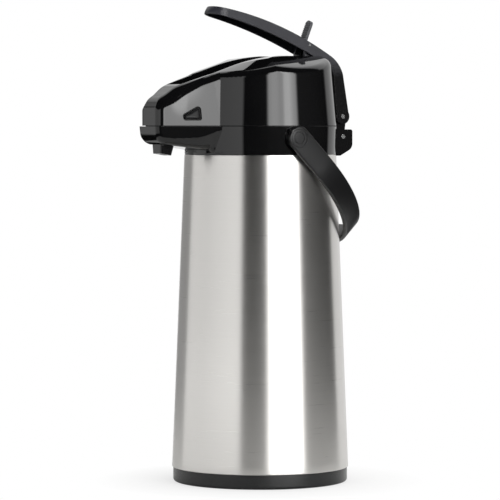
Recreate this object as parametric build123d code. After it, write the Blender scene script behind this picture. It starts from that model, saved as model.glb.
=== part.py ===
from build123d import *
import os
from math import atan2, cos, degrees, radians, sin, sqrt, tan

# Airpot with a lever pump. Millimetres, +Z up, the spout points along -Y.
# The origin is the middle of the flat underside that it stands on.

# Clearances
CUT = 1.0               # a cutter runs this far past the face it cuts
OPEN = 40.0             # half length of a cutter or bar that is trimmed to the outline afterwards
RUN = 0.05              # radial, a pin turning in its hole
FREE = 0.4              # between pieces that move past each other
SEAT = 0.3              # between pieces of two bodies that rest together
SLIP = 0.15             # between fixed pieces that are assembled by hand

# Steel body
SHELL_HEIGHT = 283.0
SHELL_BOTTOM_RADIUS = 80.0
SHELL_TOP_RADIUS = 68.8
SHELL_WALL = 0.8
SHELL_LIP = 2.2
BASE_HEIGHT = 13.0
BASE_SETBACK = 1.0
BASE_RADIUS = SHELL_BOTTOM_RADIUS - BASE_SETBACK
BASE_EDGE = 2.5
BASE_WALL = 2.6
FOOT_RING_SETBACK = 13.0
FOOT_RING_RADIUS = BASE_RADIUS - FOOT_RING_SETBACK
FOOT_RING_WIDTH = 8.0
FOOT_RING_DEPTH = 1.2
THREAD_RING_HEIGHT = 14.0
THREAD_RING_WALL = 3.0

# Glass flask
FLASK_RADIUS = 64.0
FLASK_GLASS = 1.6
FLASK_VACUUM = 3.2
FLASK_BOTTOM_Z = 21.0
FLASK_BOTTOM_CURVE = 34.0
FLASK_SHOULDER_Z = 252.0
FLASK_SHOULDER_CURVE = 30.0
FLASK_TOP_Z = 298.0
NECK_RADIUS = 32.0
CUSHION_WALL = 4.0
SPACER_COUNT = 3
SPACER_RADIUS = 5.0
SPACER_Z = 70.0
NECK_SEAL_HEIGHT = 3.0

# Collar, the lower half of the plastic top
COLLAR_HEIGHT = 25.4
COLLAR_SETBACK = 0.3
COLLAR_BOTTOM_RADIUS = SHELL_TOP_RADIUS - COLLAR_SETBACK
COLLAR_FLARE = 0.7
COLLAR_TOP_RADIUS = COLLAR_BOTTOM_RADIUS + COLLAR_FLARE
PLASTIC_WALL = 2.5
COLLAR_SKIRT_DEPTH = 10.0
SEAM_GAP = 0.6
DECK_DROP = 1.6
DECK_THICKNESS = 2.5
MOUTH_RADIUS = 29.0
DECK_SCREW_INSET = 8.5
DECK_SCREW_RADIUS = COLLAR_BOTTOM_RADIUS - DECK_SCREW_INSET
DECK_SCREW_TURNS = (55, 125, 235, 305)
HOOK_GAP_HALF_WIDTH = 24.0
HOOK_GAP_FRONT_Y = -80.0
HOOK_GAP_REAR_Y = -30.0
SKIRT_LIP = 1.0
LEDGE_REACH = 6.0
HINGE_RELIEF = 0.6

# Nose that carries the spout
NOSE_FRONT_Y = -116.0
NOSE_HALF_WIDTH = 16.2
NOSE_TAPER = 15.8
NOSE_SHOULDER = 8.0
NOSE_ROOT_Y = -34.0
NOSE_LOWER_PROUD = 1.6
NOSE_KEEL_FRONT_Z = 306.2
NOSE_KEEL_ROOT_Y = -64.0
NOSE_KEEL_ROOT_Z = 300.0
NOSE_KEEL_END_Y = -60.0
NOSE_KEEL_RADIUS = 3.0
NOSE_CHIN_LEAN = 1.5
NOSE_CHIN_RADIUS = 11.0
NOSE_BILGE_RADIUS = 6.0

# Head, the hinged upper half of the plastic top
HEAD_TOP_Z = 385.5
HEAD_TAPER = 5.8
HEAD_TOP_RADIUS = COLLAR_TOP_RADIUS - HEAD_TAPER
HEAD_EDGE_RADIUS = 8.0
HEAD_LEVEL_Y = -10.5
HEAD_LEVEL_CURVE = 200.0
HEAD_BROW_Y = -62.0
HEAD_BROW_Z = 367.9
HEAD_BROW_CURVE = 60.0
HEAD_CROWN_RADIUS = 160.0
SLOPE_CROWN_RADIUS = 230.0
HEAD_CROWN_RISE = 0.4
NOSE_TIP_Y = -97.0
NOSE_TIP_Z = 356.9
NOSE_TIP_CURVE = 30.0
NOSE_CHEEK_Y = -111.5
NOSE_CHEEK_Z = 348.2
NOSE_CHEEK_CURVE = 12.0
NOSE_FACE_Z = 338.0
NOSE_FACE_CURVE = 12.0
GROOVE_HALF_WIDTH = 16.3
GROOVE_FLOOR_Z = 358.8
GROOVE_FRONT_Y = -92.0
SLOT_TOP_Y = 54.0
SLOT_FOOT_Y = 66.0
SLOT_FOOT_Z = 338.0
LID_FLOOR_THICKNESS = 2.5
LID_SCREW_RADIUS = 53.0
LID_SCREW_TURNS = (50, 130, 230, 310)
LID_POST_RADIUS = 4.0

# Rear hinge: the lower pin carries the lid, the upper one the lever
LID_PIN_Y = 78.4
LID_PIN_Z = 312.1
LEVER_PIN_Y = 80.8
LEVER_PIN_Z = 330.5
HINGE_TOP_RADIUS = 2.0
HINGE_BACK_RADIUS = 7.0
HINGE_FOOT_RADIUS = 3.0
HINGE_BACK_HEIGHT = 17.0
HINGE_SPREAD = 8.0
HINGE_DROP = 1.4
HINGE_WEB = 1.2
HINGE_FLOOR = 4.0
HINGE_PIN_RADIUS = 2.0
HINGE_REAR_Y = 88.4
HINGE_HALF_WIDTH = 18.0
HINGE_TOP_Z = 318.6
LUG_HALF_WIDTH = 11.0
LUG_RADIUS = 6.4
LUG_TOP_RADIUS = 7.0
KNUCKLE_GAP = 0.5

# Lever
LEVER_HALF_WIDTH = 13.9
LEVER_TIP_Y = -56.6
LEVER_TIP_TOP_Z = 428.9
LEVER_TIP_DEPTH = 6.4
LEVER_CROWN_Y = 2.0
LEVER_CROWN_Z = 415.4
LEVER_CROWN_DEPTH = 10.0
LEVER_ELBOW_Y = 67.5
LEVER_ELBOW_Z = 385.4
LEVER_ELBOW_DEPTH = 7.5
LEVER_INNER_ELBOW = 5.0
LEVER_NECK_Y = 80.6
LEVER_NECK_Z = 369.0
LEVER_KNEE_Y = 71.0
LEVER_KNEE_Z = 364.0
LEVER_SHIN_TAPER = 0.4
LEVER_SKIN = 2.4
LEVER_FLANGE = 2.2
LEVER_BOSS_RADIUS = 7.0
LEVER_TRAVEL = 22.0
FOOT_Y = 48.0
FOOT_Z = 386.2
FOOT_RADIUS = 6.0
FOOT_INNER_X = 6.0
FOOT_OUTER_X = 10.0

# Lock tab that rocks in the lever
TAB_PIN_Y = 44.7
TAB_PIN_Z = 395.2
TAB_PIN_RADIUS = 1.2
TAB_HUB_RADIUS = 2.8
TAB_WIDTH = 8.6
TAB_THICKNESS = 3.0
TAB_ABOVE = 24.0
TAB_BELOW = 26.2
TAB_TOE = 4.6
TAB_TOE_HEIGHT = 3.0
TAB_RIB_COUNT = 9
TAB_RIB_DEPTH = 0.5
TAB_RIB_FOOT = 6.5
TAB_RIB_PITCH = 1.7
TAB_RIB_WIDTH = 0.8

# Pump
BELLOWS_Y = 14.0
BELLOWS_RADIUS = 35.0
BELLOWS_FOLD = 5.0
BELLOWS_WALL = 0.9
BELLOWS_FOLDS = 6
BELLOWS_CUFF = 3.0
BELLOWS_EDGE = 1.6
PLATE_THICKNESS = 2.5
PLATE_TOP_Z = 354.0
PLUNGER_FRONT_Y = 16.0
PLUNGER_REAR_Y = 51.0
PLUNGER_HALF_WIDTH = 10.8
PLUNGER_SLOT_HALF_WIDTH = 5.5
PLUNGER_SLOT_DEPTH = 14.0
SPRING_RADIUS = 13.0
SPRING_WIRE = 1.6
SPRING_TURNS = 5.0
SPRING_PLAY = 0.6
SPRING_GUIDE_WALL = 1.6
SPRING_GUIDE_HEIGHT = 4.0
VALVE_RADIUS = 9.0

# Bail handle
BAIL_PIVOT_Y = -5.9
BAIL_PIVOT_Z = 311.2
BAIL_HALF_SPAN = 73.5
BAIL_ARM = 35.5
BAIL_BEND = 89.6
BAIL_THICKNESS = 4.5
BAIL_WIDTH = 21.5
BAIL_DROOP = 45.0
BAIL_PIN_RADIUS = 4.0
BAIL_PIN_DEPTH = 2.8
BAIL_BOSS_RADIUS = 9.0
BAIL_SOCKET_DEPTH = 5.0
BAIL_SOCKET_WALL = 2.0

# Spout
NOZZLE_Y = -101.6
NOZZLE_TOP_WIDTH = 17.0
NOZZLE_TOP_DEPTH = 14.0
NOZZLE_TIP_WIDTH = 14.8
NOZZLE_TIP_DEPTH = 11.0
NOZZLE_TIP_Z = 296.4
NOZZLE_SLANT = 2.0
NOZZLE_BORE = 3.6
NOZZLE_FLANGE = 1.5
NOZZLE_MOUTH_TILT = 9.0
NOZZLE_WAIST = 4.6
NOZZLE_SWEEP = 1.1
NOZZLE_CORNER = 2.4
NOZZLE_TIP_CORNER = 2.0
NOZZLE_FLANGE_Z = 308.9
PIPE_RADIUS = 4.4
PIPE_BORE = 3.2
PIPE_BEND = 5.0
PIPE_START = 4.0
PIPE_FOOT_Z = 301.5
TUBE_Y = -14.0
TUBE_RADIUS = 4.5
TUBE_BORE = 3.4
TUBE_FOOT_Z = 34.0
TUBE_GRIP = 8.0
CARRIER_THICKNESS = 1.8
CARRIER_SEAL = 1.0
CARRIER_WALL = 2.2
MOUTH_LEDGE = 1.5

# Release buttons in the sides of the nose
BUTTON_Y = -83.0
BUTTON_LOW_Z = 326.7
BUTTON_LENGTH = 16.8
BUTTON_HEIGHT = 12.3
BUTTON_SLOPE = 0.54
BUTTON_RIM = 1.3
BUTTON_WELL = 1.2
BUTTON_TRAVEL = 2.5
BUTTON_FLANGE = 1.5
BUTTON_SINK = 0.3
BUTTON_WEB = 1.5
BUTTON_INNER_X = 13.0
SPINE_HALF_WIDTH = 2.5
SPINE_REACH = 6.0
HOOK_X = 15.0
HOOK_THICKNESS = 2.2
HOOK_HALF_WIDTH = 4.0
HOOK_FOOT_Z = 309.5
CATCH_Z = 312.0
CATCH_HEIGHT = 2.4
BUTTON_SPRING_RADIUS = 2.4
BUTTON_SPRING_WIRE = 0.6

# Fasteners
SCREW_RADIUS = 1.5
SCREW_HEAD_RADIUS = 2.8
SCREW_HEAD_HEIGHT = 1.6
SCREW_LENGTH = 8.0

# Heights and places that follow from the sizes above
SHELL_TOP_Z = BASE_HEIGHT + SHELL_HEIGHT
COLLAR_BOTTOM_Z = SHELL_TOP_Z
COLLAR_TOP_Z = COLLAR_BOTTOM_Z + COLLAR_HEIGHT
HEAD_BOTTOM_Z = COLLAR_TOP_Z + SEAM_GAP
DECK_TOP_Z = COLLAR_TOP_Z - DECK_DROP
DECK_BOTTOM_Z = DECK_TOP_Z - DECK_THICKNESS
LEDGE_BOTTOM_Z = DECK_BOTTOM_Z - PLASTIC_WALL
NECK_SEAL_TOP_Z = FLASK_TOP_Z + NECK_SEAL_HEIGHT
NECK_BORE = NECK_RADIUS - 2 * FLASK_GLASS - FLASK_VACUUM
LID_FLOOR_Z = HEAD_BOTTOM_Z + 0.5
LID_FLOOR_TOP_Z = LID_FLOOR_Z + LID_FLOOR_THICKNESS
PLATE_BOTTOM_Z = PLATE_TOP_Z - PLATE_THICKNESS
BAIL_OUTER = BAIL_HALF_SPAN + BAIL_THICKNESS / 2
BAIL_INNER = BAIL_HALF_SPAN - BAIL_THICKNESS / 2
BAIL_PIN_ROOT_X = COLLAR_TOP_RADIUS - PLASTIC_WALL - BAIL_SOCKET_DEPTH
GROOVE_CEILING_Z = GROOVE_FLOOR_Z - PLASTIC_WALL
POST_Y = BUTTON_Y + 1
POST_Z = BUTTON_LOW_Z + BUTTON_HEIGHT / 2
PIPE_Z = DECK_BOTTOM_Z - PIPE_RADIUS - SEAT
CARRIER_SEAL_Z = NECK_SEAL_TOP_Z + MOUTH_LEDGE
CARRIER_Z = CARRIER_SEAL_Z + CARRIER_SEAL


def cylinder(radius, low, high):
    """Upright round bar on the vessel's axis between two heights."""
    return Pos(0, 0, low) * Cylinder(radius, high - low, align=(Align.CENTER, Align.CENTER, Align.MIN))


def ring(outer, inner, low, high):
    """Upright tube on the vessel's axis between two heights."""
    return cylinder(outer, low, high) - cylinder(inner, low, high)


def block(x0, x1, y0, y1, z0, z1):
    """Box between two corners."""
    return Pos((x0 + x1) / 2, (y0 + y1) / 2, (z0 + z1) / 2) * Box(x1 - x0, y1 - y0, z1 - z0)


def turned(*outline):
    """Solid of revolution about Z from edges in radius and height."""
    return revolve(Plane.XZ * make_face(outline), Axis.Z)


def lathe(points):
    """Solid of revolution about Z from straight runs in radius and height."""
    return turned(*Polyline(*points, close=True).edges())


def cross_pin(radius, x0, x1, y, z):
    """Round bar along X at a place in the side view."""
    bar = Cylinder(radius, x1 - x0, align=(Align.CENTER, Align.CENTER, Align.MIN))
    return Pos(x0, y, z) * Rot(0, 90, 0) * bar


def slab(face, half_width):
    """Side view face, drawn in Y and Z, made as wide as twice the half width."""
    return extrude(Plane.YZ * face, amount=half_width, both=True)


def rounded_polygon(corners):
    """Face with straight sides whose corners are given as x, y and corner radius."""
    face = make_face(Polyline(*[(x, y) for x, y, _ in corners], close=True))
    for x, y, radius in corners:
        corner = face.vertices().sort_by_distance((x, y))[0]
        face = fillet(corner, radius)
    return face


def column(face, low, high):
    """Plan view face raised between two heights."""
    return extrude(Plane.XY.offset(low) * face, amount=high - low)


# Steel body

def shell_radius(z):
    """Outer radius of the steel shell at a height."""
    share = (z - BASE_HEIGHT) / SHELL_HEIGHT
    return SHELL_BOTTOM_RADIUS + (SHELL_TOP_RADIUS - SHELL_BOTTOM_RADIUS) * share


def outer_shell():
    bottom, top = SHELL_BOTTOM_RADIUS, SHELL_TOP_RADIUS
    return lathe([
        (bottom - SHELL_LIP, BASE_HEIGHT), (bottom, BASE_HEIGHT), (top, SHELL_TOP_Z),
        (top - SHELL_WALL, SHELL_TOP_Z), (bottom - SHELL_WALL, BASE_HEIGHT + SHELL_WALL),
        (bottom - SHELL_LIP, BASE_HEIGHT + SHELL_WALL),
    ])


def thread_ring_radius():
    return SHELL_BOTTOM_RADIUS - SHELL_WALL - SLIP - THREAD_RING_HEIGHT * (
        SHELL_BOTTOM_RADIUS - SHELL_TOP_RADIUS) / SHELL_HEIGHT


def thread_ring():
    low = BASE_HEIGHT + SHELL_WALL
    outer = thread_ring_radius()
    return ring(outer, outer - THREAD_RING_WALL, low, low + THREAD_RING_HEIGHT)


def base_cap():
    body = cylinder(BASE_RADIUS, 0, BASE_HEIGHT)
    body = fillet(body.edges().group_by(Axis.Z)[0], BASE_EDGE)
    body -= cylinder(BASE_RADIUS - BASE_WALL, BASE_WALL, BASE_HEIGHT)
    collar_radius = thread_ring_radius() - THREAD_RING_WALL - SLIP
    thread = ring(collar_radius, collar_radius - BASE_WALL, BASE_WALL, BASE_HEIGHT + THREAD_RING_HEIGHT)
    seat = ring(cushion_outer() + SLIP + BASE_WALL, cushion_outer() + SLIP, BASE_WALL, FLASK_BOTTOM_Z)
    groove = ring(FOOT_RING_RADIUS + FOOT_RING_WIDTH / 2, FOOT_RING_RADIUS - FOOT_RING_WIDTH / 2,
                  0, FOOT_RING_DEPTH)
    return body + thread + seat - groove


def foot_ring():
    return ring(FOOT_RING_RADIUS + FOOT_RING_WIDTH / 2, FOOT_RING_RADIUS - FOOT_RING_WIDTH / 2,
                0, FOOT_RING_DEPTH)


# Glass flask

def bottle(radius, neck, bottom, top, bottom_curve, shoulder_curve):
    """Solid bottle with a bowl shaped bottom, a round shoulder and a neck."""
    shoulder = FLASK_SHOULDER_Z
    neck_z = shoulder + shoulder_curve
    bowl = CenterArc((radius - bottom_curve, bottom + bottom_curve), bottom_curve, 270, 90)
    return turned(
        Line((0, bottom), (radius - bottom_curve, bottom)),
        bowl,
        Line((radius, bottom + bottom_curve), (radius, shoulder)),
        Spline((radius, shoulder), (neck, neck_z), tangents=((0, 1), (0, 1))),
        Line((neck, neck_z), (neck, top)),
        Line((neck, top), (0, top)),
        Line((0, top), (0, bottom)),
    )


def flask_bottle(inset, top):
    """Bottle drawn in from the outside of the flask."""
    return bottle(FLASK_RADIUS - inset, NECK_RADIUS - inset, FLASK_BOTTOM_Z + inset, top,
                  FLASK_BOTTOM_CURVE - inset, FLASK_SHOULDER_CURVE)


def flask_outer():
    lip = FLASK_TOP_Z - FLASK_GLASS
    return flask_bottle(0, lip) - flask_bottle(FLASK_GLASS, lip)


def flask_inner():
    outside = FLASK_GLASS + FLASK_VACUUM
    lip = ring(NECK_RADIUS, NECK_BORE, FLASK_TOP_Z - FLASK_GLASS, FLASK_TOP_Z)
    wall = flask_bottle(outside, FLASK_TOP_Z) - flask_bottle(outside + FLASK_GLASS, FLASK_TOP_Z)
    return wall + lip


def flask_spacers():
    gap = (FLASK_RADIUS - FLASK_GLASS - FLASK_VACUUM, FLASK_RADIUS - FLASK_GLASS)
    band = ring(gap[1], gap[0], SPACER_Z - SPACER_RADIUS, SPACER_Z + SPACER_RADIUS)
    pads = Part()
    for turn in range(SPACER_COUNT):
        plug = cross_pin(SPACER_RADIUS, gap[0] - SPACER_RADIUS, gap[1] + SPACER_RADIUS, 0, SPACER_Z)
        pads += band & (Rot(0, 0, 360 * turn / SPACER_COUNT) * plug)
    return pads


def cushion_outer():
    return FLASK_RADIUS - FLASK_BOTTOM_CURVE + CUSHION_WALL


def liner_cushion():
    flat = FLASK_RADIUS - FLASK_BOTTOM_CURVE
    cup = cylinder(cushion_outer(), BASE_WALL, FLASK_BOTTOM_Z + CUSHION_WALL)
    cup -= cylinder(flat - CUSHION_WALL, BASE_WALL, FLASK_BOTTOM_Z)
    return cup - flask_bottle(0, FLASK_TOP_Z)


def neck_seal():
    return ring(NECK_RADIUS, MOUTH_RADIUS - 2, FLASK_TOP_Z, NECK_SEAL_TOP_Z)


# Nose outline, shared by the collar and the head

def nose_half_width(y, inset=0, proud=0):
    """Half width of the nose at a place along Y."""
    slope = tan(radians(NOSE_TAPER))
    return NOSE_HALF_WIDTH + proud - inset / cos(radians(NOSE_TAPER)) + slope * (y - NOSE_FRONT_Y)


def nose_plan(inset, proud=0):
    """Plan of the nose, drawn in by inset, and standing proud of the head's own nose."""
    front = NOSE_FRONT_Y - proud + inset
    half = nose_half_width(front, inset, proud)
    root = nose_half_width(NOSE_ROOT_Y, inset, proud)
    corners = ((-half, front), (half, front), (root, NOSE_ROOT_Y), (-root, NOSE_ROOT_Y))
    return make_face(Polyline(*corners, close=True))


def nose_column(inset, low, high, proud=0):
    """Upright walled nose between two heights."""
    return column(nose_plan(inset, proud), low, high)


def round_sides(nose, radius, seam_z, inset=0, proud=0):
    """Nose with its two side corners rounded, from the root round the front to the seam."""
    corners = []
    for edge in nose.edges():
        middle = edge.position_at(0.5)
        on_wall = abs(abs(middle.X) - nose_half_width(middle.Y, inset, proud)) < 0.1
        if on_wall and middle.Y < NOSE_ROOT_Y - 1 and abs(middle.Z - seam_z) > 0.1:
            corners.append(edge)
    return fillet(corners, radius)


# Collar

def keel_line():
    """Side view of the lower nose, from the chin back to the steel body."""
    front = NOSE_FRONT_Y - NOSE_LOWER_PROUD
    path = FilletPolyline((front, COLLAR_TOP_Z), (front + NOSE_CHIN_LEAN, NOSE_KEEL_FRONT_Z),
                          (NOSE_KEEL_ROOT_Y, NOSE_KEEL_ROOT_Z), (NOSE_KEEL_END_Y, COLLAR_BOTTOM_Z),
                          radius=[NOSE_CHIN_RADIUS, NOSE_KEEL_RADIUS])
    close = Polyline((NOSE_KEEL_END_Y, COLLAR_BOTTOM_Z), (NOSE_ROOT_Y, COLLAR_BOTTOM_Z),
                     (NOSE_ROOT_Y, COLLAR_TOP_Z), (front, COLLAR_TOP_Z))
    return make_face(path.edges() + close.edges())


def collar_outline(inset):
    """Solid outline of the collar and its nose, drawn in by inset."""
    cone = lathe([
        (0, COLLAR_BOTTOM_Z), (COLLAR_BOTTOM_RADIUS - inset, COLLAR_BOTTOM_Z),
        (COLLAR_TOP_RADIUS - inset, COLLAR_TOP_Z), (0, COLLAR_TOP_Z),
    ])
    nose = nose_column(inset, COLLAR_BOTTOM_Z, COLLAR_TOP_Z, NOSE_LOWER_PROUD)
    side = keel_line()
    if inset:
        side = offset(side, amount=-inset)
        low = COLLAR_TOP_Z - inset - CUT
        side += make_face(Polyline((NOSE_FRONT_Y, low), (NOSE_ROOT_Y, low), (NOSE_ROOT_Y, COLLAR_TOP_Z),
                                   (NOSE_FRONT_Y, COLLAR_TOP_Z), close=True))
    nose &= slab(side, COLLAR_TOP_RADIUS)
    if not inset:
        nose = round_sides(nose, NOSE_BILGE_RADIUS, COLLAR_TOP_Z, proud=NOSE_LOWER_PROUD)
    return cone + nose


def hinge_block():
    """Two ears behind the collar that hold the lid pin."""
    radius = COLLAR_BOTTOM_RADIUS - PLASTIC_WALL / 2
    front, foot = radius - HINGE_SPREAD, COLLAR_BOTTOM_Z - HINGE_DROP
    line = FilletPolyline(
        (front, HINGE_TOP_Z), (HINGE_REAR_Y, HINGE_TOP_Z), (HINGE_REAR_Y, HINGE_TOP_Z - HINGE_BACK_HEIGHT),
        (radius + HINGE_SPREAD, foot), (front, foot),
        radius=[HINGE_TOP_RADIUS, HINGE_BACK_RADIUS, HINGE_FOOT_RADIUS])
    side = make_face(line.edges() + Line((front, foot), (front, HINGE_TOP_Z)).edges())
    body = slab(side, HINGE_HALF_WIDTH)
    gap = LUG_HALF_WIDTH + KNUCKLE_GAP
    body -= block(-gap, gap, radius + HINGE_WEB, HINGE_REAR_Y + CUT, COLLAR_BOTTOM_Z + HINGE_FLOOR,
                  HINGE_TOP_Z + CUT)
    return body


def handle_boss(side):
    low, high = COLLAR_TOP_RADIUS - PLASTIC_WALL, BAIL_INNER - SEAT
    boss = cross_pin(BAIL_BOSS_RADIUS, low, high, BAIL_PIVOT_Y, BAIL_PIVOT_Z)
    inner = cross_pin(BAIL_PIN_RADIUS + BAIL_SOCKET_WALL, BAIL_PIN_ROOT_X, low + CUT, BAIL_PIVOT_Y, BAIL_PIVOT_Z)
    return (boss + inner) if side > 0 else mirror(boss + inner, Plane.YZ)


def nozzle_neck(grow, low, high):
    """Upright part of the nozzle where it passes through the floor of the nose."""
    plan = RectangleRounded(NOZZLE_TOP_WIDTH + 2 * grow, NOZZLE_TOP_DEPTH + 2 * grow, NOZZLE_CORNER + grow)
    return Pos(0, NOZZLE_Y, 0) * column(plan, low, high)


def collar():
    inner = COLLAR_BOTTOM_RADIUS - PLASTIC_WALL
    body = collar_outline(0) - collar_outline(PLASTIC_WALL)
    body -= cylinder(inner, COLLAR_BOTTOM_Z - CUT, COLLAR_BOTTOM_Z + CUT)
    skirt = SHELL_TOP_RADIUS - SHELL_WALL - SLIP
    body += ring(skirt, skirt - PLASTIC_WALL, COLLAR_BOTTOM_Z - COLLAR_SKIRT_DEPTH, COLLAR_BOTTOM_Z + SKIRT_LIP)
    ledge = ring(COLLAR_BOTTOM_RADIUS - 1, DECK_SCREW_RADIUS - LEDGE_REACH, LEDGE_BOTTOM_Z, DECK_BOTTOM_Z)
    ledge -= block(-HOOK_GAP_HALF_WIDTH, HOOK_GAP_HALF_WIDTH, HOOK_GAP_FRONT_Y, HOOK_GAP_REAR_Y,
                   LEDGE_BOTTOM_Z - 1, DECK_BOTTOM_Z + 1)
    for x, y in deck_screw_places():
        ledge += Pos(x, y, 0) * cylinder(LID_POST_RADIUS, DECK_BOTTOM_Z - SCREW_LENGTH - 2, DECK_BOTTOM_Z)
        ledge -= Pos(x, y, 0) * cylinder(SCREW_RADIUS, DECK_BOTTOM_Z - SCREW_LENGTH, DECK_BOTTOM_Z)
    body += ledge
    hinge = hinge_block() - cylinder(inner, COLLAR_BOTTOM_Z - HINGE_SPREAD, HEAD_BOTTOM_Z)
    body += hinge - cylinder(SHELL_TOP_RADIUS + HINGE_RELIEF, COLLAR_BOTTOM_Z - HINGE_SPREAD, COLLAR_BOTTOM_Z)
    for side in (-1, 1):
        body += handle_boss(side)
        low, high = sorted((side * BAIL_PIN_ROOT_X, side * BAIL_OUTER))
        body -= cross_pin(BAIL_PIN_RADIUS, low, high, BAIL_PIVOT_Y, BAIL_PIVOT_Z)
        catch_x = HOOK_X + HOOK_THICKNESS / 2 + FREE
        catch = block(catch_x, catch_x + 12, BUTTON_Y - HOOK_HALF_WIDTH, BUTTON_Y + HOOK_HALF_WIDTH,
                      CATCH_Z, CATCH_Z + CATCH_HEIGHT)
        catch &= column(nose_plan(PLASTIC_WALL / 2, NOSE_LOWER_PROUD), CATCH_Z, CATCH_Z + CATCH_HEIGHT)
        body += catch if side > 0 else mirror(catch, Plane.YZ)
    pin_span = HINGE_HALF_WIDTH + 1
    body -= cross_pin(HINGE_PIN_RADIUS, -pin_span, pin_span, LID_PIN_Y, LID_PIN_Z)
    body -= nozzle_neck(SLIP, NOSE_KEEL_ROOT_Z - 5, NOZZLE_FLANGE_Z + NOZZLE_FLANGE)
    return body


def deck_screw_places():
    """Screws that hold the deck down on the collar's ledge."""
    return [(DECK_SCREW_RADIUS * sin(radians(turn)), -DECK_SCREW_RADIUS * cos(radians(turn)))
            for turn in DECK_SCREW_TURNS]


def mouth_deck():
    gap = PLASTIC_WALL + SLIP
    plan = Circle(COLLAR_BOTTOM_RADIUS - gap) + nose_plan(gap, NOSE_LOWER_PROUD)
    deck = column(plan, DECK_BOTTOM_Z, DECK_TOP_Z)
    deck += cylinder(MOUTH_RADIUS + DECK_THICKNESS, NECK_SEAL_TOP_Z, DECK_BOTTOM_Z + 1)
    deck -= cylinder(MOUTH_RADIUS, CARRIER_SEAL_Z, DECK_TOP_Z + 1)
    deck -= cylinder(NECK_BORE, NECK_SEAL_TOP_Z - 1, DECK_TOP_Z)
    slot = HOOK_THICKNESS / 2 + FREE + BUTTON_TRAVEL
    for side in (-1, 1):
        deck -= block(side * HOOK_X - slot, side * HOOK_X + slot, BUTTON_Y - HOOK_HALF_WIDTH - FREE,
                      BUTTON_Y + HOOK_HALF_WIDTH + FREE, DECK_BOTTOM_Z - 1, DECK_TOP_Z + 1)
    for x, y in deck_screw_places():
        deck -= Pos(x, y, 0) * cylinder(SCREW_RADIUS, DECK_BOTTOM_Z, DECK_TOP_Z)
    return deck - pipe_bore(PIPE_RADIUS + SLIP, 0, 60)


def pipe_bore(radius, start, length):
    """Level round bar that runs forward along the spout pipe."""
    bar = Cylinder(radius, length, align=(Align.CENTER, Align.CENTER, Align.MIN))
    return Pos(0, start, PIPE_Z) * Rot(90, 0, 0) * bar


def screw(x, y, top):
    """Pan head screw whose head sits on top of the face at a height."""
    head = cylinder(SCREW_HEAD_RADIUS, top, top + SCREW_HEAD_HEIGHT)
    head = fillet(head.edges().group_by(Axis.Z)[-1], 0.6)
    slot = block(-SCREW_HEAD_RADIUS, SCREW_HEAD_RADIUS, -0.35, 0.35, top + 0.8, top + SCREW_HEAD_HEIGHT + 1)
    cross = slot + Rot(0, 0, 90) * slot
    shank = cylinder(SCREW_RADIUS - RUN, top - SCREW_LENGTH, top)
    return Pos(x, y, 0) * (head + shank - cross)


def deck_screws():
    group = Part()
    for x, y in deck_screw_places():
        group += screw(x, y, DECK_TOP_Z)
    return group


# Liquid path

def tube_carrier():
    """Ring in the mouth with a shelf that holds the dip tube and turns the flow into the spout pipe."""
    rim = MOUTH_RADIUS - SLIP
    body = cylinder(rim, CARRIER_Z, CARRIER_Z + CARRIER_THICKNESS)
    shelf_rear = TUBE_Y + TUBE_RADIUS + CARRIER_WALL
    body -= block(-rim, rim, shelf_rear, rim, CARRIER_Z, CARRIER_Z + CARRIER_THICKNESS)
    body += ring(rim, rim - CARRIER_WALL, CARRIER_Z, DECK_BOTTOM_Z)
    body -= pipe_bore(PIPE_RADIUS + SLIP, 0, 2 * rim)
    grip_z = CARRIER_Z - TUBE_GRIP
    body += Pos(0, TUBE_Y, 0) * cylinder(TUBE_RADIUS + CARRIER_WALL, grip_z, DECK_BOTTOM_Z)
    body -= Pos(0, TUBE_Y, 0) * cylinder(TUBE_RADIUS, grip_z, dip_tube_top())
    body -= Pos(0, TUBE_Y, 0) * cylinder(TUBE_BORE, grip_z, PIPE_Z)
    body -= pipe_bore(PIPE_BORE, TUBE_Y, 2 * TUBE_RADIUS)
    return body - pipe_bore(PIPE_RADIUS, TUBE_Y - PIPE_START, 2 * TUBE_RADIUS)


def carrier_seal():
    return ring(MOUTH_RADIUS - SLIP, NECK_BORE + 0.5, CARRIER_SEAL_Z, CARRIER_Z)


def dip_tube_top():
    return PIPE_Z - PIPE_RADIUS


def dip_tube():
    top = dip_tube_top()
    tube = cylinder(TUBE_RADIUS, TUBE_FOOT_Z, top) - cylinder(TUBE_BORE, TUBE_FOOT_Z, top)
    notch = block(-TUBE_RADIUS - 1, TUBE_RADIUS + 1, -1.2, 1.2, TUBE_FOOT_Z - 1, TUBE_FOOT_Z + 3)
    return Pos(0, TUBE_Y, 0) * (tube - notch)


def pipe_bar(radius):
    """Solid round bar along the route of the spout pipe."""
    path = FilletPolyline((0, TUBE_Y - PIPE_START, PIPE_Z), (0, NOZZLE_Y, PIPE_Z), (0, NOZZLE_Y, PIPE_FOOT_Z),
                          radius=PIPE_BEND)
    return sweep(Plane(path @ 0, z_dir=path % 0) * Circle(radius), path)


def spout_pipe():
    return pipe_bar(PIPE_RADIUS) - pipe_bar(PIPE_BORE)


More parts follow.
